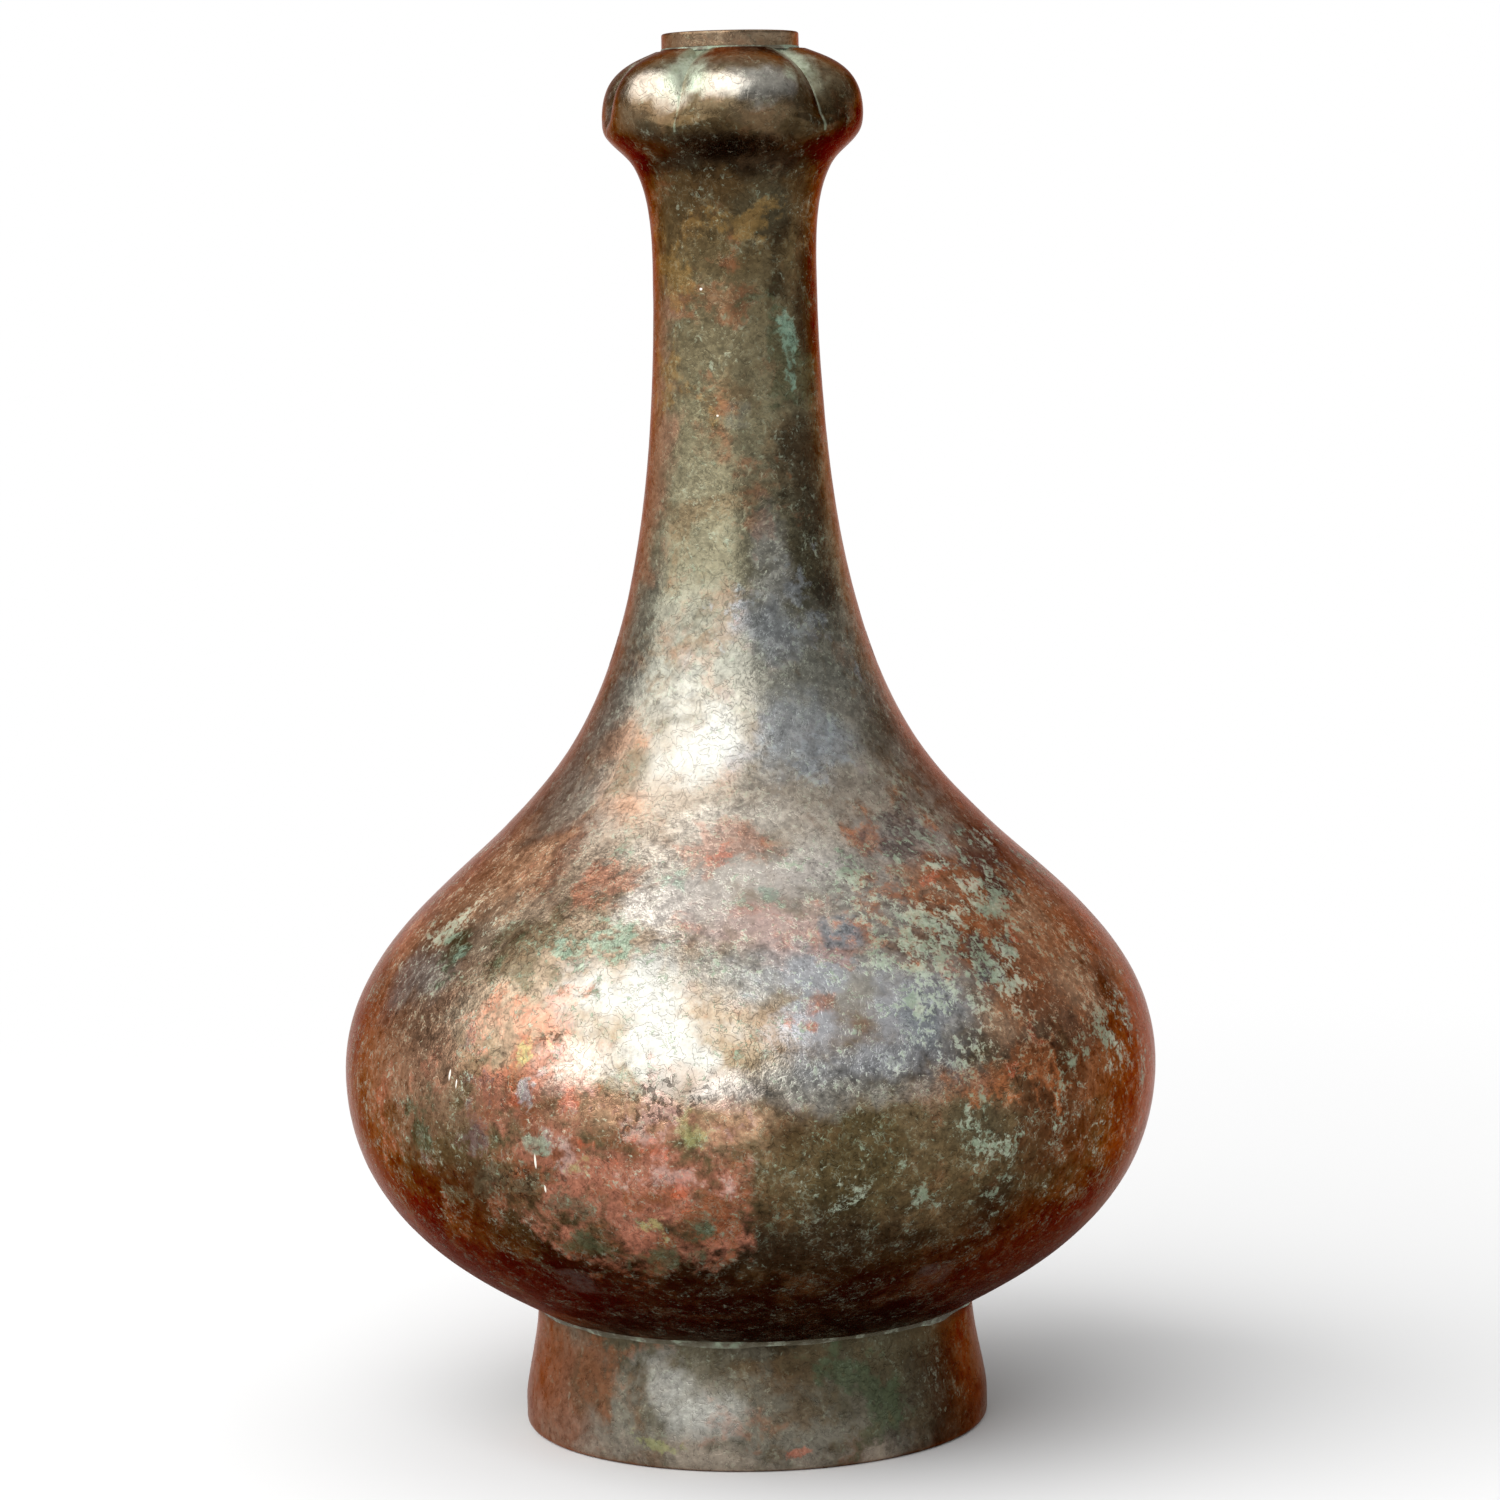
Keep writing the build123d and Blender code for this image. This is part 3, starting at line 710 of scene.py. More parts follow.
# Patches: angle from the front, height, half width and half height, in degrees and millimetres
# Broad zones have soft edges
BROAD_LAYERS = (
    # Patches near the left and right outlines are patina that also stands in for a painted warm reflection
    # at the edges.
    (RED_BROWN, 0.65, ((50, 142, 36, 34), (56, 104, 26, 26), (-50, 158, 16, 12), (-60, 16, 20, 24))),
    (SIENNA, 0.8, ((-58, 112, 30, 26), (-74, 262, 9, 60), (-48, 186, 9, 12), (-36, 172, 9, 8),
                   (38, 119, 14, 9), (26, 108, 11, 7), (53, 128, 15, 12))),
    (RUST, 0.55, ((-84, 100, 14, 30), (50, 130, 20, 16), (44, 156, 16, 8))),
    (FAWN, 0.7, ((-64, 150, 22, 19), (-74, 138, 12, 10), (62, 140, 20, 14), (58, 127, 12, 8))),
    (MAROON, 0.85, ((44, 96, 15, 18), (50, 90, 10, 8), (-78, 110, 12, 14), (46, 62, 30, 14),
                    (72, 98, 20, 30), (62, 14, 16, 24), (-46, 76, 24, 11))),
    # Soot on the right of the neck and foot, low on the belly and in a ring under the head is painted
    # shade.
    (SOOT_AND_SHADE, 0.8, ((48, 250, 9, 36), (50, 226, 7, 12), (30, 320, 6, 10), (30, 307, 5, 9), (46, 18, 16, 20),
                 (62, 300, 7, 40), (12, 68, 44, 13), (-30, 58, 24, 8), (-52, 341, 15, 5),
                 (-12, 341, 13, 4), (28, 340, 15, 6), (62, 341, 12, 5))),
    # Umber round the top of the foot, under the belly, and on the right of the neck and flare is painted
    # shade; the rest is patina.
    (UMBER, 0.6, ((-46, 20, 7, 9), (31, 95, 9, 6), (-39, 180, 6, 7), (58, 190, 8, 8), (30, 20, 14, 14),
                  (-30, 31, 30, 5), (30, 31, 30, 5), (34, 235, 8, 15), (15, 326, 9, 8))),
    (OLIVE, 0.8, ((13, 88, 19, 13), (14, 98, 12, 5))),
    # Grey, pale grey and pearl patches on the front of the belly, flare, neck and foot are patina
    # brightened into painted highlights.
    (PALE_GREY_AND_HIGHLIGHT, 0.95, ((-15, 150, 11, 8), (7, 169, 9, 7), (-8, 168, 13, 9), (0, 160, 22, 13),
                       (14, 162, 14, 11), (-24, 113, 12, 6), (6, 112, 8, 5))),
    (GREY_AND_HIGHLIGHT, 0.95, ((-16, 131, 22, 11), (-11, 119, 15, 12), (-18, 188, 9, 20))),
    (GREY_AND_HIGHLIGHT, 0.7, ((13, 358, 9, 5), (36, 163, 11, 8), (20, 151, 14, 14), (-14, 15, 10, 6),
                 (-62, 130, 14, 7), (30, 126, 13, 16), (14, 110, 24, 6), (2, 136, 14, 7),
                 (18, 134, 14, 9), (18, 230, 6, 20), (24, 147, 13, 8), (46, 163, 10, 7),
                 (-24, 22, 9, 6))),
    # Lavender grey at the right end of the belly's highlight is patina and partly a painted reflection of
    # the sky.
    (LAVENDER_AND_REFLECTION, 0.85, ((10, 124, 12, 10), (23, 124, 18, 12), (20, 115, 20, 7), (10, 135, 16, 7))),
    # Painted highlights on the head's cloves.
    (PALE_GREY_AND_HIGHLIGHT, 0.6, ((-38, 359, 8, 4), (-26, 359, 7, 6), (-4, 359, 9, 4))),
    (SLATE, 0.7, ((22, 190, 14, 14), (17, 216, 7, 9))),
    # Pearl beside the highlights is partly painted highlight.
    (PEARL_AND_HIGHLIGHT, 0.6, ((-9, 150, 17, 8), (6, 158, 13, 8), (-3, 108, 9, 5))),
    (ROSE, 0.8, ((4, 146, 14, 9),)),
    (SIENNA, 0.3, ((-36, 122, 12, 7), (-10, 111, 9, 5))),
    (FAWN, 0.65, ((-16, 101, 20, 7), (-3, 99, 12, 6), (38, 120, 8, 6))),
    # This crust on the head's left groove also stands in for a painted highlight.
    (CRUST, 0.65, ((-23, 361, 6, 6), (31, 362, 3, 4))),
)
# Ragged ones break up into clouds
RAGGED_LAYERS = (
    (RUST, 0.6, ((44, 148, 22, 13), (49, 131, 14, 10), (62, 140, 16, 14), (44, 112, 10, 8),
                 (34, 107, 8, 5))),
    (UMBER, 0.75, ((-38, 134, 14, 5), (-38, 141, 16, 6), (-34, 83, 11, 4), (-30, 151, 9, 5),
                   (-52, 85, 10, 10), (-17, 76, 10, 4))),
    (DUSK, 0.8, ((-42, 105, 11, 9), (-40, 92, 10, 9), (58, 156, 16, 6), (34, 162, 12, 6),
                 (40, 138, 8, 5))),
    (CUPRITE, 0.45, ((-36, 124, 13, 7), (-41, 117, 7, 5), (-8, 163, 12, 4), (-33, 156, 10, 4),
                     (14, 138, 10, 6), (4, 147, 12, 6), (-56, 92, 8, 10))),
    (RED_BROWN, 0.4, ((12, 280, 8, 10), (18, 250, 6, 12), (-8, 303, 6, 8), (4, 11, 13, 6),
                      (-46, 22, 12, 8))),
    (SLATE, 0.65, ((21, 183, 9, 7), (27, 216, 11, 9), (26, 121, 11, 8), (9, 131, 8, 5))),
    (OCHRE, 0.5, ((1, 323, 10, 5), (-56, 310, 8, 12), (-50, 285, 6, 10))),
    (FERN, 0.7, ((36, 293, 6, 12), (30, 276, 5, 7), (-50, 98, 6, 7), (-20, 66, 18, 3), (34, 17, 8, 7),
                 (20, 24, 9, 5), (-54, 138, 7, 4))),
    (ROSE, 0.4, ((-14, 101, 20, 8), (-10, 88, 8, 5))),
)
# Flecks are small and keep together
FLECK_LAYERS = (
    (VERMILION, 0.5, ((-33, 104, 3.5, 3), (-23, 95, 3, 3), (-13, 94, 3.5, 2), (-10, 85, 4.5, 5),
                      (-19, 90, 3.5, 2), (-25, 106, 4, 3), (41, 154, 6.5, 2.5), (48, 151, 3.5, 2),
                      (54, 146, 4, 2), (49, 138, 3, 3), (32, 133, 3.5, 3), (43, 116, 2, 3),
                      (38, 108, 2.5, 2.5), (-5, 161, 4, 3), (10, 4, 5, 1.2))),
    (MOSS, 0.55, ((-32, 116, 4.5, 4), (-24, 89, 4.5, 3), (-13, 74, 5, 3), (-8, 99, 4.5, 5),
                  (-26, 6, 6, 2))),
    (TURQUOISE, 0.55, ((4, 153, 5, 4), (-24, 142, 12, 4), (-33, 139, 7, 3), (-30, 93, 5, 4),
                       (38, 293, 3, 7), (41, 283, 2.5, 4), (-52, 135, 3, 4), (-21, 359, 4, 5),
                       (-14, 156, 5, 2))),
    (SLATE, 0.6, ((-31, 107, 3, 5),)),
)
# The red field at the front left is red patina brightened as a painted reflection, which ends at an upright
# line
RED_FIELD = ((-20, 88, 39, 22), (-12, 80, 22, 15), (-34, 104, 16, 14))
RED_FIELD_REFLECTION_END = 1.6 * MM
RED_FIELD_FADE = 2.4 * MM
# Zones on the sides and back: colour, strength, cloud
WILD_LAYERS = ((CUPRITE, 0.7, "wild0"), (GREY_AND_HIGHLIGHT, 0.6, "wild1"), (MAROON, 0.6, "wild2"),
               (UMBER, 0.6, "wild3"))
# Pale green mineral crust, most of it on the right
CRUST_PATCHES = ((32, 142, 40, 36), (24, 150, 19, 19), (28, 128, 15, 13), (31, 115, 11, 9),
                 (48, 150, 12, 10), (52, 166, 13, 11), (-5, 172, 10, 8), (10, 158, 10, 8),
                 (15, 134, 6, 6), (58, 114, 10, 10), (30, 92, 14, 7), (46, 106, 10, 9), (24, 80, 15, 8),
                 (-62, 142, 10, 10), (-40, 168, 10, 10), (-26, 141, 14, 5), (-43, 108, 8, 7))
# Smoother places, small pits, and scratches with a few pale specks
CALM_PATCHES = ((-18, 129, 26, 15), (-9, 119, 18, 12), (-22, 184, 12, 18), (12, 126, 24, 14),
                (0, 153, 20, 14))
PIT_PATCHES = ((-13, 105, 9, 9), (-34, 83, 12, 5), (-29, 120, 3, 3))
SCRATCHES = ((-45, 108, 0.36, 5), (-43.5, 106, 0.3, 3), (-30, 89, 0.36, 4), (-29, 82, 0.32, 3.5),
             (-24, 305, 0.45, 0.45), (-13, 272, 0.35, 0.35))

# Clouds that break up the patina: swells per metre, detail, roughness, distortion, seed
CLOUDS = {
    "broad": (14.0, 3.0, 0.5, 0.0, 0.0),
    "mottle": (150.0, 5.0, 0.6, 0.4, 0.0),
    "fine": (430.0, 3.0, 0.6, 0.0, 0.0),
    "grain": (1150.0, 2.0, 0.5, 0.0, 0.0),
    "curl": (430.0, 1.5, 0.5, 0.9, 0.0),
    "lace": (540.0, 4.0, 0.75, 0.7, 4.0),
    "crack": (260.0, 2.0, 0.6, 0.8, 7.0),
    "pit": (420.0, 2.0, 0.6, 0.5, 2.0),
}
for index, seed in enumerate((3.0, 5.0, 9.0)):
    CLOUDS[f"rag{index}"] = (55.0, 7.0, 0.66, 0.3, seed)
for index, seed in enumerate((21.0, 31.0, 41.0, 51.0)):
    CLOUDS[f"wild{index}"] = (11.0, 3.0, 0.55, 0.0, seed)
RAGS = ("rag0", "rag1", "rag2")
# How patches are pushed about: swells per metre, reach, detail
DRIFT = (90.0, 8 * MM, 4.0)
# How each kind of layer breaks up: weight of nearness and of each cloud, and its edge
BROAD_BREAKUP = {"near": 1.0, "rag": 0.6, "mottle": 0.0, "fine": 0.0, "edge": (-0.4, 0.6)}
RAGGED_BREAKUP = {"near": 0.7, "rag": 1.5, "mottle": 0.7, "fine": 0.3, "edge": (-0.1, 0.8)}
FLECK_BREAKUP = {"near": 1.0, "rag": 0.0, "mottle": 1.0, "fine": 0.7, "edge": (0.0, 0.8)}

# Edges: the value where a layer starts to show, and the one where it is full
BROWN_EDGE = (0.1, 0.7)
MOTTLE_EDGE = (0.15, 0.8)
WILD_EDGE = (0.0, 0.6)
FIELD_EDGE = (-0.25, 0.55)
FIELD_TONE_EDGE = (-0.4, 0.7)
SPACER_EDGE = (0.7, -0.5)
CALM_EDGE = (0.7, -0.3)
BED_EDGE = (-0.3, 1.1)
BROKEN_EDGE = (-0.2, 0.5)
STROKE_EDGE = (0.16, 0.02)
GRAIN_EDGE = (0.39, 1.44)
GROOVE_EDGE = (0.04, 0.2)
CREASE_EDGE = (0.3, 1.2)
CRUST_TONE_EDGE = (-0.4, 0.4)
CRACK_EDGE = (0.07, 0.01)
SCRATCH_EDGE = (0.0, 0.4)
BITTEN_EDGE = (0.0, 0.5)
PIT_EDGE = (-0.16, -0.36)
INSIDE_EDGE = (0.4, 0.6)
LINING_EDGE = (-0.2, 0.3)
# Angle from the front in radians, then heights
AWAY_EDGE = (1.05, 1.5)
UNDERSIDE_SHADE = (100 * MM, 50 * MM)
UNDERSIDE_DULL = (80 * MM, 45 * MM)
FOOT_FADE = (30 * MM, 34 * MM)

# Strengths of the layers, and what the underside takes from them for its painted shade
BROWN_SHARE = 0.45
RED_SHARE = 0.45
UMBER_SHARE = 0.5
UNDER_PLAIN = 0.3
UNDER_RED_PLAIN = 0.35
UNDER_SHADE = 0.7
FIELD_SHARE = 0.85
LEAST_LIVELY = 0.5
CALM_LEFT = 0.4
BED_IN_PATCHES = 0.8
BED_ELSEWHERE = 0.5
BED_SHADE = 0.12
STROKE_SHARE = 0.3
STROKE_IN_BED = 0.3
GRAIN_IN_BED = 1.05
GROOVE_FILL = 0.85
CREASE_FILL = 0.6
CRUST_SHARE = 0.75
CRACK_SHADE = 0.4
PIT_SHADE = 0.6
# Relief in millimetres, roughness and loss of metal
CRUST_RELIEF = 0.06
CRACK_RELIEF = 0.03
PIT_RELIEF = 0.1
CRUST_ROUGH = 0.2
UNDER_ROUGH = 0.22
LINING_ROUGH = 0.35
CRUST_MINERAL = 0.5
LINING_MINERAL = 0.7


class Patina(Finish):
    """Finish of the wall between two heights, with the clouds and masks that its layers share."""

    def __init__(self, name, low, high, crusting):
        super().__init__(bpy.data.materials.new(name), low=low, high=high)
        self.crusting = crusting
        self.clouds = {}
        axes = [self.node("ShaderNodeSeparateXYZ", {}, {0: self.place}, axis) for axis in "XYZ"]
        self.x, y, self.z = axes
        self.clouds["away"] = self.x.math("ARCTAN2", y * -1.0).math("ABSOLUTE").step(*AWAY_EDGE)
        # The belly's underside is plainer, its crust darkened as painted shade, and duller
        above_foot = self.z.step(*FOOT_FADE)
        self.under = self.z.step(*UNDERSIDE_SHADE) * above_foot
        self.dull = self.z.step(*UNDERSIDE_DULL) * above_foot
        self.drifting = self.shifted(*DRIFT)
        self.lively = LEAST_LIVELY + (1 - LEAST_LIVELY) * crusting
        calm = self.spots(CALM_PATCHES, self.drifting)
        if calm:
            self.lively = (calm.step(*CALM_EDGE) * (1 - CALM_LEFT) + CALM_LEFT) * self.lively

    def cloud(self, **weights):
        """Sum of the clouds named, each times its weight."""
        total = None
        for name, weight in weights.items():
            if not weight:
                continue
            if name not in self.clouds:
                self.clouds[name] = self.noise(*CLOUDS[name])
            part = self.clouds[name] * weight
            total = part if total is None else total + part
        return total

    def attribute(self, name):
        """Value that the mesh carries at each point."""
        return self.node("ShaderNodeAttribute", {"attribute_name": name}, {}, "Fac")

    def ground(self):
        """Tone by height, with painted shade low on the belly, atop the foot and under the head, wandering,
        clouded with brown, red and umber.
        """
        level = self.z * (1 / top_z) + self.cloud(broad=0.03, rag0=0.02)
        stops = [(height * MM / top_z, colour) for height, colour in GROUND_AND_SHADE]
        base = self.node("ShaderNodeValToRGB", {"stops": stops}, {0: level})
        brown = self.cloud(rag0=1.0, broad=0.5).step(*BROWN_EDGE)
        base = self.mix(brown * (BROWN_SHARE - self.under * UNDER_PLAIN), base, BROWN)
        red = self.cloud(rag1=1.0, mottle=0.4).step(*MOTTLE_EDGE)
        base = self.mix(red * (RED_SHARE - self.under * UNDER_RED_PLAIN) * self.crusting, base, RED_BROWN)
        umber = self.cloud(rag2=1.0, mottle=0.4).step(*MOTTLE_EDGE)
        return self.mix(umber * (UMBER_SHARE - self.under * UNDER_PLAIN), base, UMBER)

    def lay(self, base, layers, near, rag, mottle, fine, edge):
        """Tone with layers of patches over it, each broken up by the next of the ragged clouds."""
        for index, (colour, strength, patches) in enumerate(layers):
            nearness = self.spots(patches, self.drifting)
            if nearness:
                ragged = {RAGS[index % len(RAGS)]: rag}
                share = (nearness * near + self.cloud(mottle=mottle, fine=fine, **ragged)).step(*edge)
                base = self.mix(share * strength, base, colour)
        return base

    def wild_zones(self, base):
        """Tone with zones on the sides and back, where few patches are placed."""
        for colour, strength, cloud in WILD_LAYERS:
            share = self.cloud(**{cloud: 1.0}, rag1=0.5, mottle=0.2).step(*WILD_EDGE)
            base = self.mix(share * self.clouds["away"] * strength, base, colour)
        return base

    def red_field(self, base):
        """Tone with the red field over it, where the wall has it: red patina brightened as a painted
        reflection that ends at an upright line.
        """
        field = self.spots(RED_FIELD, self.drifting)
        if not field:
            return base
        end = self.x + self.cloud(mottle=RED_FIELD_FADE / 4)
        share = (field + self.cloud(rag2=0.7, mottle=0.4)).step(*FIELD_EDGE)
        share = share * end.step(RED_FIELD_REFLECTION_END, RED_FIELD_REFLECTION_END - RED_FIELD_FADE)
        tones = self.cloud(rag0=1.2, mottle=0.6, fine=0.3).step(*FIELD_TONE_EDGE)
        return self.mix(share * FIELD_SHARE, base, self.mix(tones, CUPRITE, RED_BROWN))

    def crust_bed(self):
        """How thickly crust can lie, which is most in its patches."""
        cover = self.cloud(rag2=0.9, mottle=0.5, fine=0.3, away=0.3)
        spots = self.spots(CRUST_PATCHES, self.drifting)
        cover = cover + spots * BED_IN_PATCHES if spots else cover - BED_ELSEWHERE
        return cover.step(*BED_EDGE) * self.crusting

    def crust(self, bed):
        """Share of crust: curled strokes all over, grains in its bed, fill in the head's grooves."""
        broken = self.cloud(mottle=1.0, fine=0.6).step(*BROKEN_EDGE) * self.lively
        strokes = self.cloud(curl=1.0).math("ABSOLUTE").step(*STROKE_EDGE)
        strokes = strokes * broken * (STROKE_SHARE + bed * STROKE_IN_BED) * self.crusting
        lace = self.cloud(lace=1.0, mottle=0.45, grain=0.45)
        grains = (lace + bed * GRAIN_IN_BED).step(*GRAIN_EDGE) * self.crusting
        upper = self.z.step(head_z, lip_z - LIP_HEIGHT)
        groove = (self.attribute("groove") + self.cloud(mottle=0.05, fine=0.03)).step(*GROOVE_EDGE)
        crease = (self.attribute("crease") + self.cloud(mottle=0.6)).step(*CREASE_EDGE)
        filled = (groove * upper * GROOVE_FILL).most(crease * CREASE_FILL)
        return strokes.most(grains).most(filled)

    def scratches(self):
        """Share of scratches and specks, where the wall has them."""
        spots = self.spots(SCRATCHES, self.place)
        return spots.step(*SCRATCH_EDGE) if spots else 0.0

    def pits(self):
        """Share of pits, where the wall has them."""
        spots = self.spots(PIT_PATCHES, self.drifting)
        if not spots:
            return 0.0
        return self.cloud(pit=1.0).step(*PIT_EDGE) * (spots + self.cloud(rag0=0.8)).step(*BITTEN_EDGE)


def patinated_bronze(name, low, high, crusting, wear):
    """Waxed bronze gone brown and olive, with red and green corrosion, for the wall between two heights."""
    f = Patina(name, low, high, crusting)

    # Zones and patches
    base = f.lay(f.ground(), BROAD_LAYERS, **BROAD_BREAKUP)
    base = f.red_field(f.wild_zones(base))
    base = f.lay(base, RAGGED_LAYERS, **RAGGED_BREAKUP)
    spacer = f.attribute("spacer") * f.cloud(mottle=1.0, fine=0.5).step(*SPACER_EDGE)
    base = f.mix(spacer, base, SLATE)
    base = f.lay(base, FLECK_LAYERS, **FLECK_BREAKUP)

    # Mottling, crust and cracks
    bed = f.crust_bed()
    base = f.scaled(base, 1.0 + f.cloud(mottle=0.27, fine=0.38, grain=0.25) * f.lively - bed * BED_SHADE)
    crust = f.crust(bed)
    crust_tone = f.mix(f.cloud(rag1=1.0, grain=0.6).step(*CRUST_TONE_EDGE), CRUST, SAGE)
    # Crust on the belly's underside is darkened as painted shade.
    base = f.mix(crust * CRUST_SHARE, base, f.scaled(crust_tone, 1.0 - f.under * UNDER_SHADE))
    crack = f.cloud(crack=1.0).math("ABSOLUTE").step(*CRACK_EDGE)
    base = f.scaled(base, 1.0 - crack * CRACK_SHADE * f.lively)

    # Scratches and pits
    scratch = f.scratches()
    base = f.mix(scratch, base, CHALK)
    crust = crust.most(scratch)
    pit = f.pits()
    base = f.mix(pit * PIT_SHADE, base, SOOT_AND_SHADE)
    relief = f.cloud(mottle=0.03, fine=0.025, grain=0.012) * f.lively + crust * CRUST_RELIEF
    relief = relief - crack * CRACK_RELIEF - pit * PIT_RELIEF

    # Lining
    inside = f.attribute("inside").step(*INSIDE_EDGE)
    base = f.mix(inside, base, f.mix(f.cloud(rag0=1.0).step(*LINING_EDGE), LINING, EARTH))
    rough = wear + f.cloud(fine=0.05) + crust * CRUST_ROUGH + f.dull * UNDER_ROUGH + inside * LINING_ROUGH
    metal = (1.0 - crust * CRUST_MINERAL) * (1.0 - inside * LINING_MINERAL)
    return f.shade({"Base Color": base, "Metallic": metal, "Roughness": rough, "Specular Tint": RIM_TINT,
                    "Normal": f.bump(relief)})


# Solder: its clouds, the edges and strengths of its tones, and its surface
SOLDER_CLOUD = (40.0, 4.0, 0.6, 0.4, 6.0)
SOLDER_MOTTLE = (260.0, 4.0, 0.6)
SOLDER_BREAKUP = 0.5
PEWTER_EDGE = (-0.4, 0.6)
GREENED = 1.2
GREEN_EDGE = (0.1, 0.8)
GREEN_SHARE = 0.6
WHITE_EDGE = (0.2, 0.7)
WHITE_SHARE = 0.25
SOLDER_METAL = 0.5
SOLDER_ROUGH = 0.5
SOLDER_RELIEF = 0.12


def old_solder():
    """Dull solder, whitened and greened in places."""
    f = Finish(bpy.data.materials.new("old_solder"))
    cloud = f.noise(*SOLDER_CLOUD)
    mottle = f.noise(*SOLDER_MOTTLE)
    broken = mottle * SOLDER_BREAKUP
    base = f.mix((cloud + broken).step(*PEWTER_EDGE), UMBER, PEWTER)
    base = f.mix((cloud * GREENED + broken).step(*GREEN_EDGE) * GREEN_SHARE, base, SAGE)
    base = f.mix(mottle.step(*WHITE_EDGE) * WHITE_SHARE, base, CRUST)
    return f.shade({"Base Color": base, "Metallic": SOLDER_METAL, "Roughness": SOLDER_ROUGH,
                    "Normal": f.bump(mottle * SOLDER_RELIEF)})


# How much crust each wall has, and how rough it is
FEW_STROKES = 0.3
SOME_STROKES = 0.55
MANY_STROKES = 1.0
POLISHED = 0.235
WAXED = 0.22
SATIN = 0.26
WORN = 0.29
foot_patina = patinated_bronze("foot_patina", 0.0, FOOT_HEIGHT, FEW_STROKES, WORN)
belly_patina = patinated_bronze("belly_patina", FOOT_HEIGHT, turn_z, MANY_STROKES, WAXED)
neck_patina = patinated_bronze("neck_patina", turn_z, root_z, SOME_STROKES, SATIN)
head_patina = patinated_bronze("head_patina", root_z, top_z, FEW_STROKES, POLISHED)
solder = old_solder()

# Sections: piece, node, mesh, finish
SECTIONS = (
    ("cast_bowl", "bowl", bowl_mesh, belly_patina),
    ("cast_shoulder", "shoulder", shoulder_mesh, belly_patina),
    ("cast_neck", "neck", neck_mesh, neck_patina),
    ("cast_head", "garlic_head", head_mesh, head_patina),
    ("cast_lip", "mouth_ring", lip_mesh, head_patina),
    ("cast_foot", "foot_ring", foot_mesh, foot_patina),
    ("cast_floor", "floor_plate", floor_mesh, foot_patina),
)
for name, node, make, finish in SECTIONS:
    section = make()
    make_uneven(section)
    stand_in(name, section, node, finish)

# Chaplets: place, line, rows, side, how bare they are, finish
CHAPLETS = (
    ("neck", neck_line, NECK_CHAPLET_ROWS, NECK_CHAPLET_SIDE, CHAPLET_COVERED, neck_patina),
    ("shoulder", shoulder_line, SHOULDER_CHAPLET_ROWS, CHAPLET_SIDE, CHAPLET_BARE, belly_patina),
    ("bowl", bowl_line, BOWL_CHAPLET_ROWS, CHAPLET_SIDE, CHAPLET_COVERED, belly_patina),
)
for place, line, rows, side, showing, finish in CHAPLETS:
    plates = chaplet_mesh(line, rows, side, showing)
    stand_in(place + "_spacers", plates, place + "_chaplets", finish)
stand_in("foot_fillet", foot_fillet(), "foot_solder", solder)
stand_in("mouth_fillet", mouth_fillet(), "mouth_solder", solder)
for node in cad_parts.values():
    node.data.materials.clear()
    node.data.materials.append(solder)


# Studio: pale floor, a broad soft light at the front left, white surround
FLOOR_SIZE = 6.0
FLOOR_STEPS = 96
FLOOR_TONE = 0.80
WHITE_FROM = 0.30
WHITE_FULL = 0.75
KEY_HEADING = -50.0
KEY_RISE = 42.0
KEY_DISTANCE = 3.0
KEY_WIDTH = 5.6
KEY_HEIGHT = 3.3
KEY_POWER = 140.0
SKY_WHITE = 1.0
SKY_DIM = 0.42
SKY_HIGH = 0.90
SKY_WHITE_TO = 5.0
SKY_DIM_FROM = 13.0
SKY_DIM_TO = 22.0
SKY_HIGH_FROM = 48.0
SKY_RIGHT_DIM = 0.2
SKY_RIGHT_FROM = 0.15
SKY_RIGHT_TO = 0.85


def seen(f):
    """1 for the rays that show the surround: straight to the camera, mirrored or let through."""
    path = "ShaderNodeLightPath"
    straight = f.node(path, {}, {}, "Is Camera Ray")
    mirrored = f.node(path, {}, {}, "Is Glossy Ray")
    through = f.node(path, {}, {}, "Is Transmission Ray")
    return straight.most(mirrored).most(through)


def floor_finish():
    """Pale paper that keeps the shadow near the vessel and runs out to white."""
    f = Finish(bpy.data.materials.new("studio_floor"))
    far = f.node("ShaderNodeVectorMath", {"operation": "LENGTH"}, {0: f.place}, "Value")
    share = far.step(WHITE_FROM, WHITE_FULL) * seen(f)
    paper = f.node("ShaderNodeBsdfDiffuse", {}, {"Color": (FLOOR_TONE, FLOOR_TONE, FLOOR_TONE, 1.0)})
    white = f.node("ShaderNodeEmission", {}, {"Color": (1.0, 1.0, 1.0, 1.0), "Strength": 1.0})
    both = f.node("ShaderNodeMixShader", {}, {0: share, 1: paper, 2: white})
    f.node("ShaderNodeOutputMaterial", {}, {"Surface": both})
    return f.owner


def studio_floor():
    bm = bmesh.new()
    bmesh.ops.create_circle(bm, cap_ends=True, radius=FLOOR_SIZE, segments=FLOOR_STEPS)
    mesh = bpy.data.meshes.new("studio_floor")
    bm.to_mesh(mesh)
    bm.free()
    mesh.materials.append(floor_finish())
    floor = bpy.data.objects.new("studio_floor", mesh)
    bpy.context.scene.collection.objects.link(floor)


def rise_of(elevation):
    """Height on a sphere of one of a direction, from its angle above level."""
    return sin(radians(elevation))


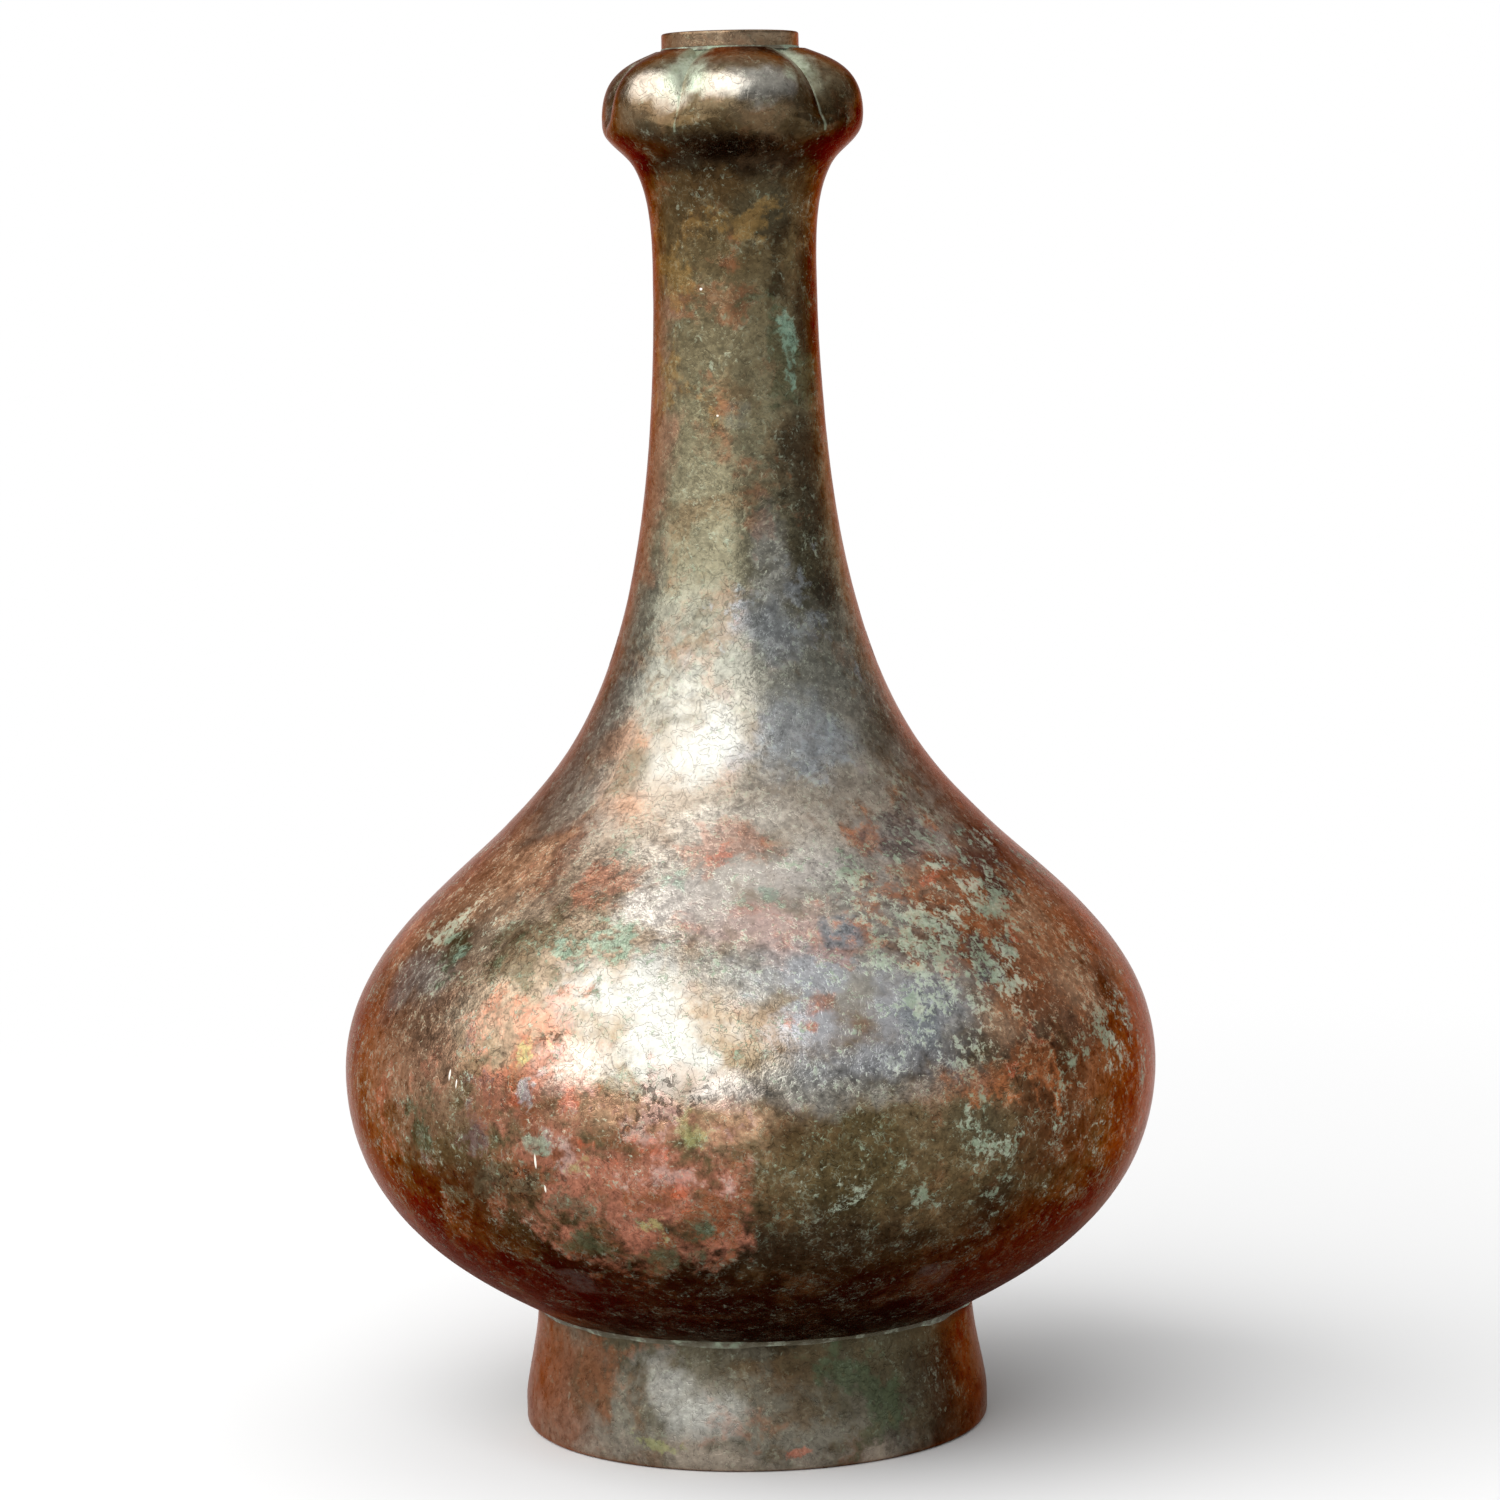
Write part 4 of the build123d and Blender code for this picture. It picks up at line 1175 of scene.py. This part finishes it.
def studio_sky():
    """White at the horizon, dim above it and bright again overhead, less so on the right."""
    f = Finish(bpy.data.worlds.new("studio_sky"), "Generated")
    height = f.node("ShaderNodeSeparateXYZ", {}, {0: f.place}, "Z")
    right = f.node("ShaderNodeSeparateXYZ", {}, {0: f.place}, "X").step(SKY_RIGHT_FROM, SKY_RIGHT_TO)
    lifted = height.step(rise_of(SKY_WHITE_TO), rise_of(SKY_DIM_FROM))
    falling = lifted * (SKY_DIM - SKY_WHITE)
    rising = height.step(rise_of(SKY_DIM_TO), rise_of(SKY_HIGH_FROM)) * (SKY_HIGH - SKY_DIM)
    shade = 1.0 - right * lifted * SKY_RIGHT_DIM
    light = f.node("ShaderNodeBackground", {}, {"Color": (1.0, 1.0, 1.0, 1.0),
                                                "Strength": (SKY_WHITE + falling + rising) * shade})
    f.node("ShaderNodeOutputWorld", {}, {"Surface": light})
    bpy.context.scene.world = f.owner


def aim(thing, location, target):
    thing.location = location
    thing.rotation_mode = "QUATERNION"
    thing.rotation_quaternion = (target - location).to_track_quat("-Z", "Y")


def soft_light(name, bearing, rise, distance, width, height, power):
    """Broad rectangular light, by its bearing from the front and its rise above level."""
    lamp = bpy.data.lights.new(name, "AREA")
    lamp.shape = "RECTANGLE"
    lamp.size = width
    lamp.size_y = height
    lamp.energy = power
    light = bpy.data.objects.new(name, lamp)
    bpy.context.scene.collection.objects.link(light)
    target = Vector((0, 0, widest_z))
    across = distance * cos(radians(rise))
    up = distance * sin(radians(rise))
    offset = Vector((across * sin(radians(bearing)), -across * cos(radians(bearing)), up))
    aim(light, target + offset, target)


studio_floor()
studio_sky()
soft_light("key_light", KEY_HEADING, KEY_RISE, KEY_DISTANCE, KEY_WIDTH, KEY_HEIGHT, KEY_POWER)

# Camera
CAMERA_SIDE = 1.5 * MM
CAMERA_DISTANCE = 1.225
CAMERA_HEIGHT = 0.310
CAMERA_DIP = 5.98
CAMERA_ROLL = 1.15
LENS = 110.2

lens = bpy.data.cameras.new("camera")
lens.lens = LENS
camera = bpy.data.objects.new("camera", lens)
bpy.context.scene.collection.objects.link(camera)
turn = Matrix.Rotation(radians(90 - CAMERA_DIP), 4, "X") @ Matrix.Rotation(radians(-CAMERA_ROLL), 4, "Z")
camera.matrix_world = Matrix.Translation((CAMERA_SIDE, -CAMERA_DISTANCE, CAMERA_HEIGHT)) @ turn
bpy.context.scene.camera = camera
bpy.context.scene.view_settings.view_transform = "Standard"
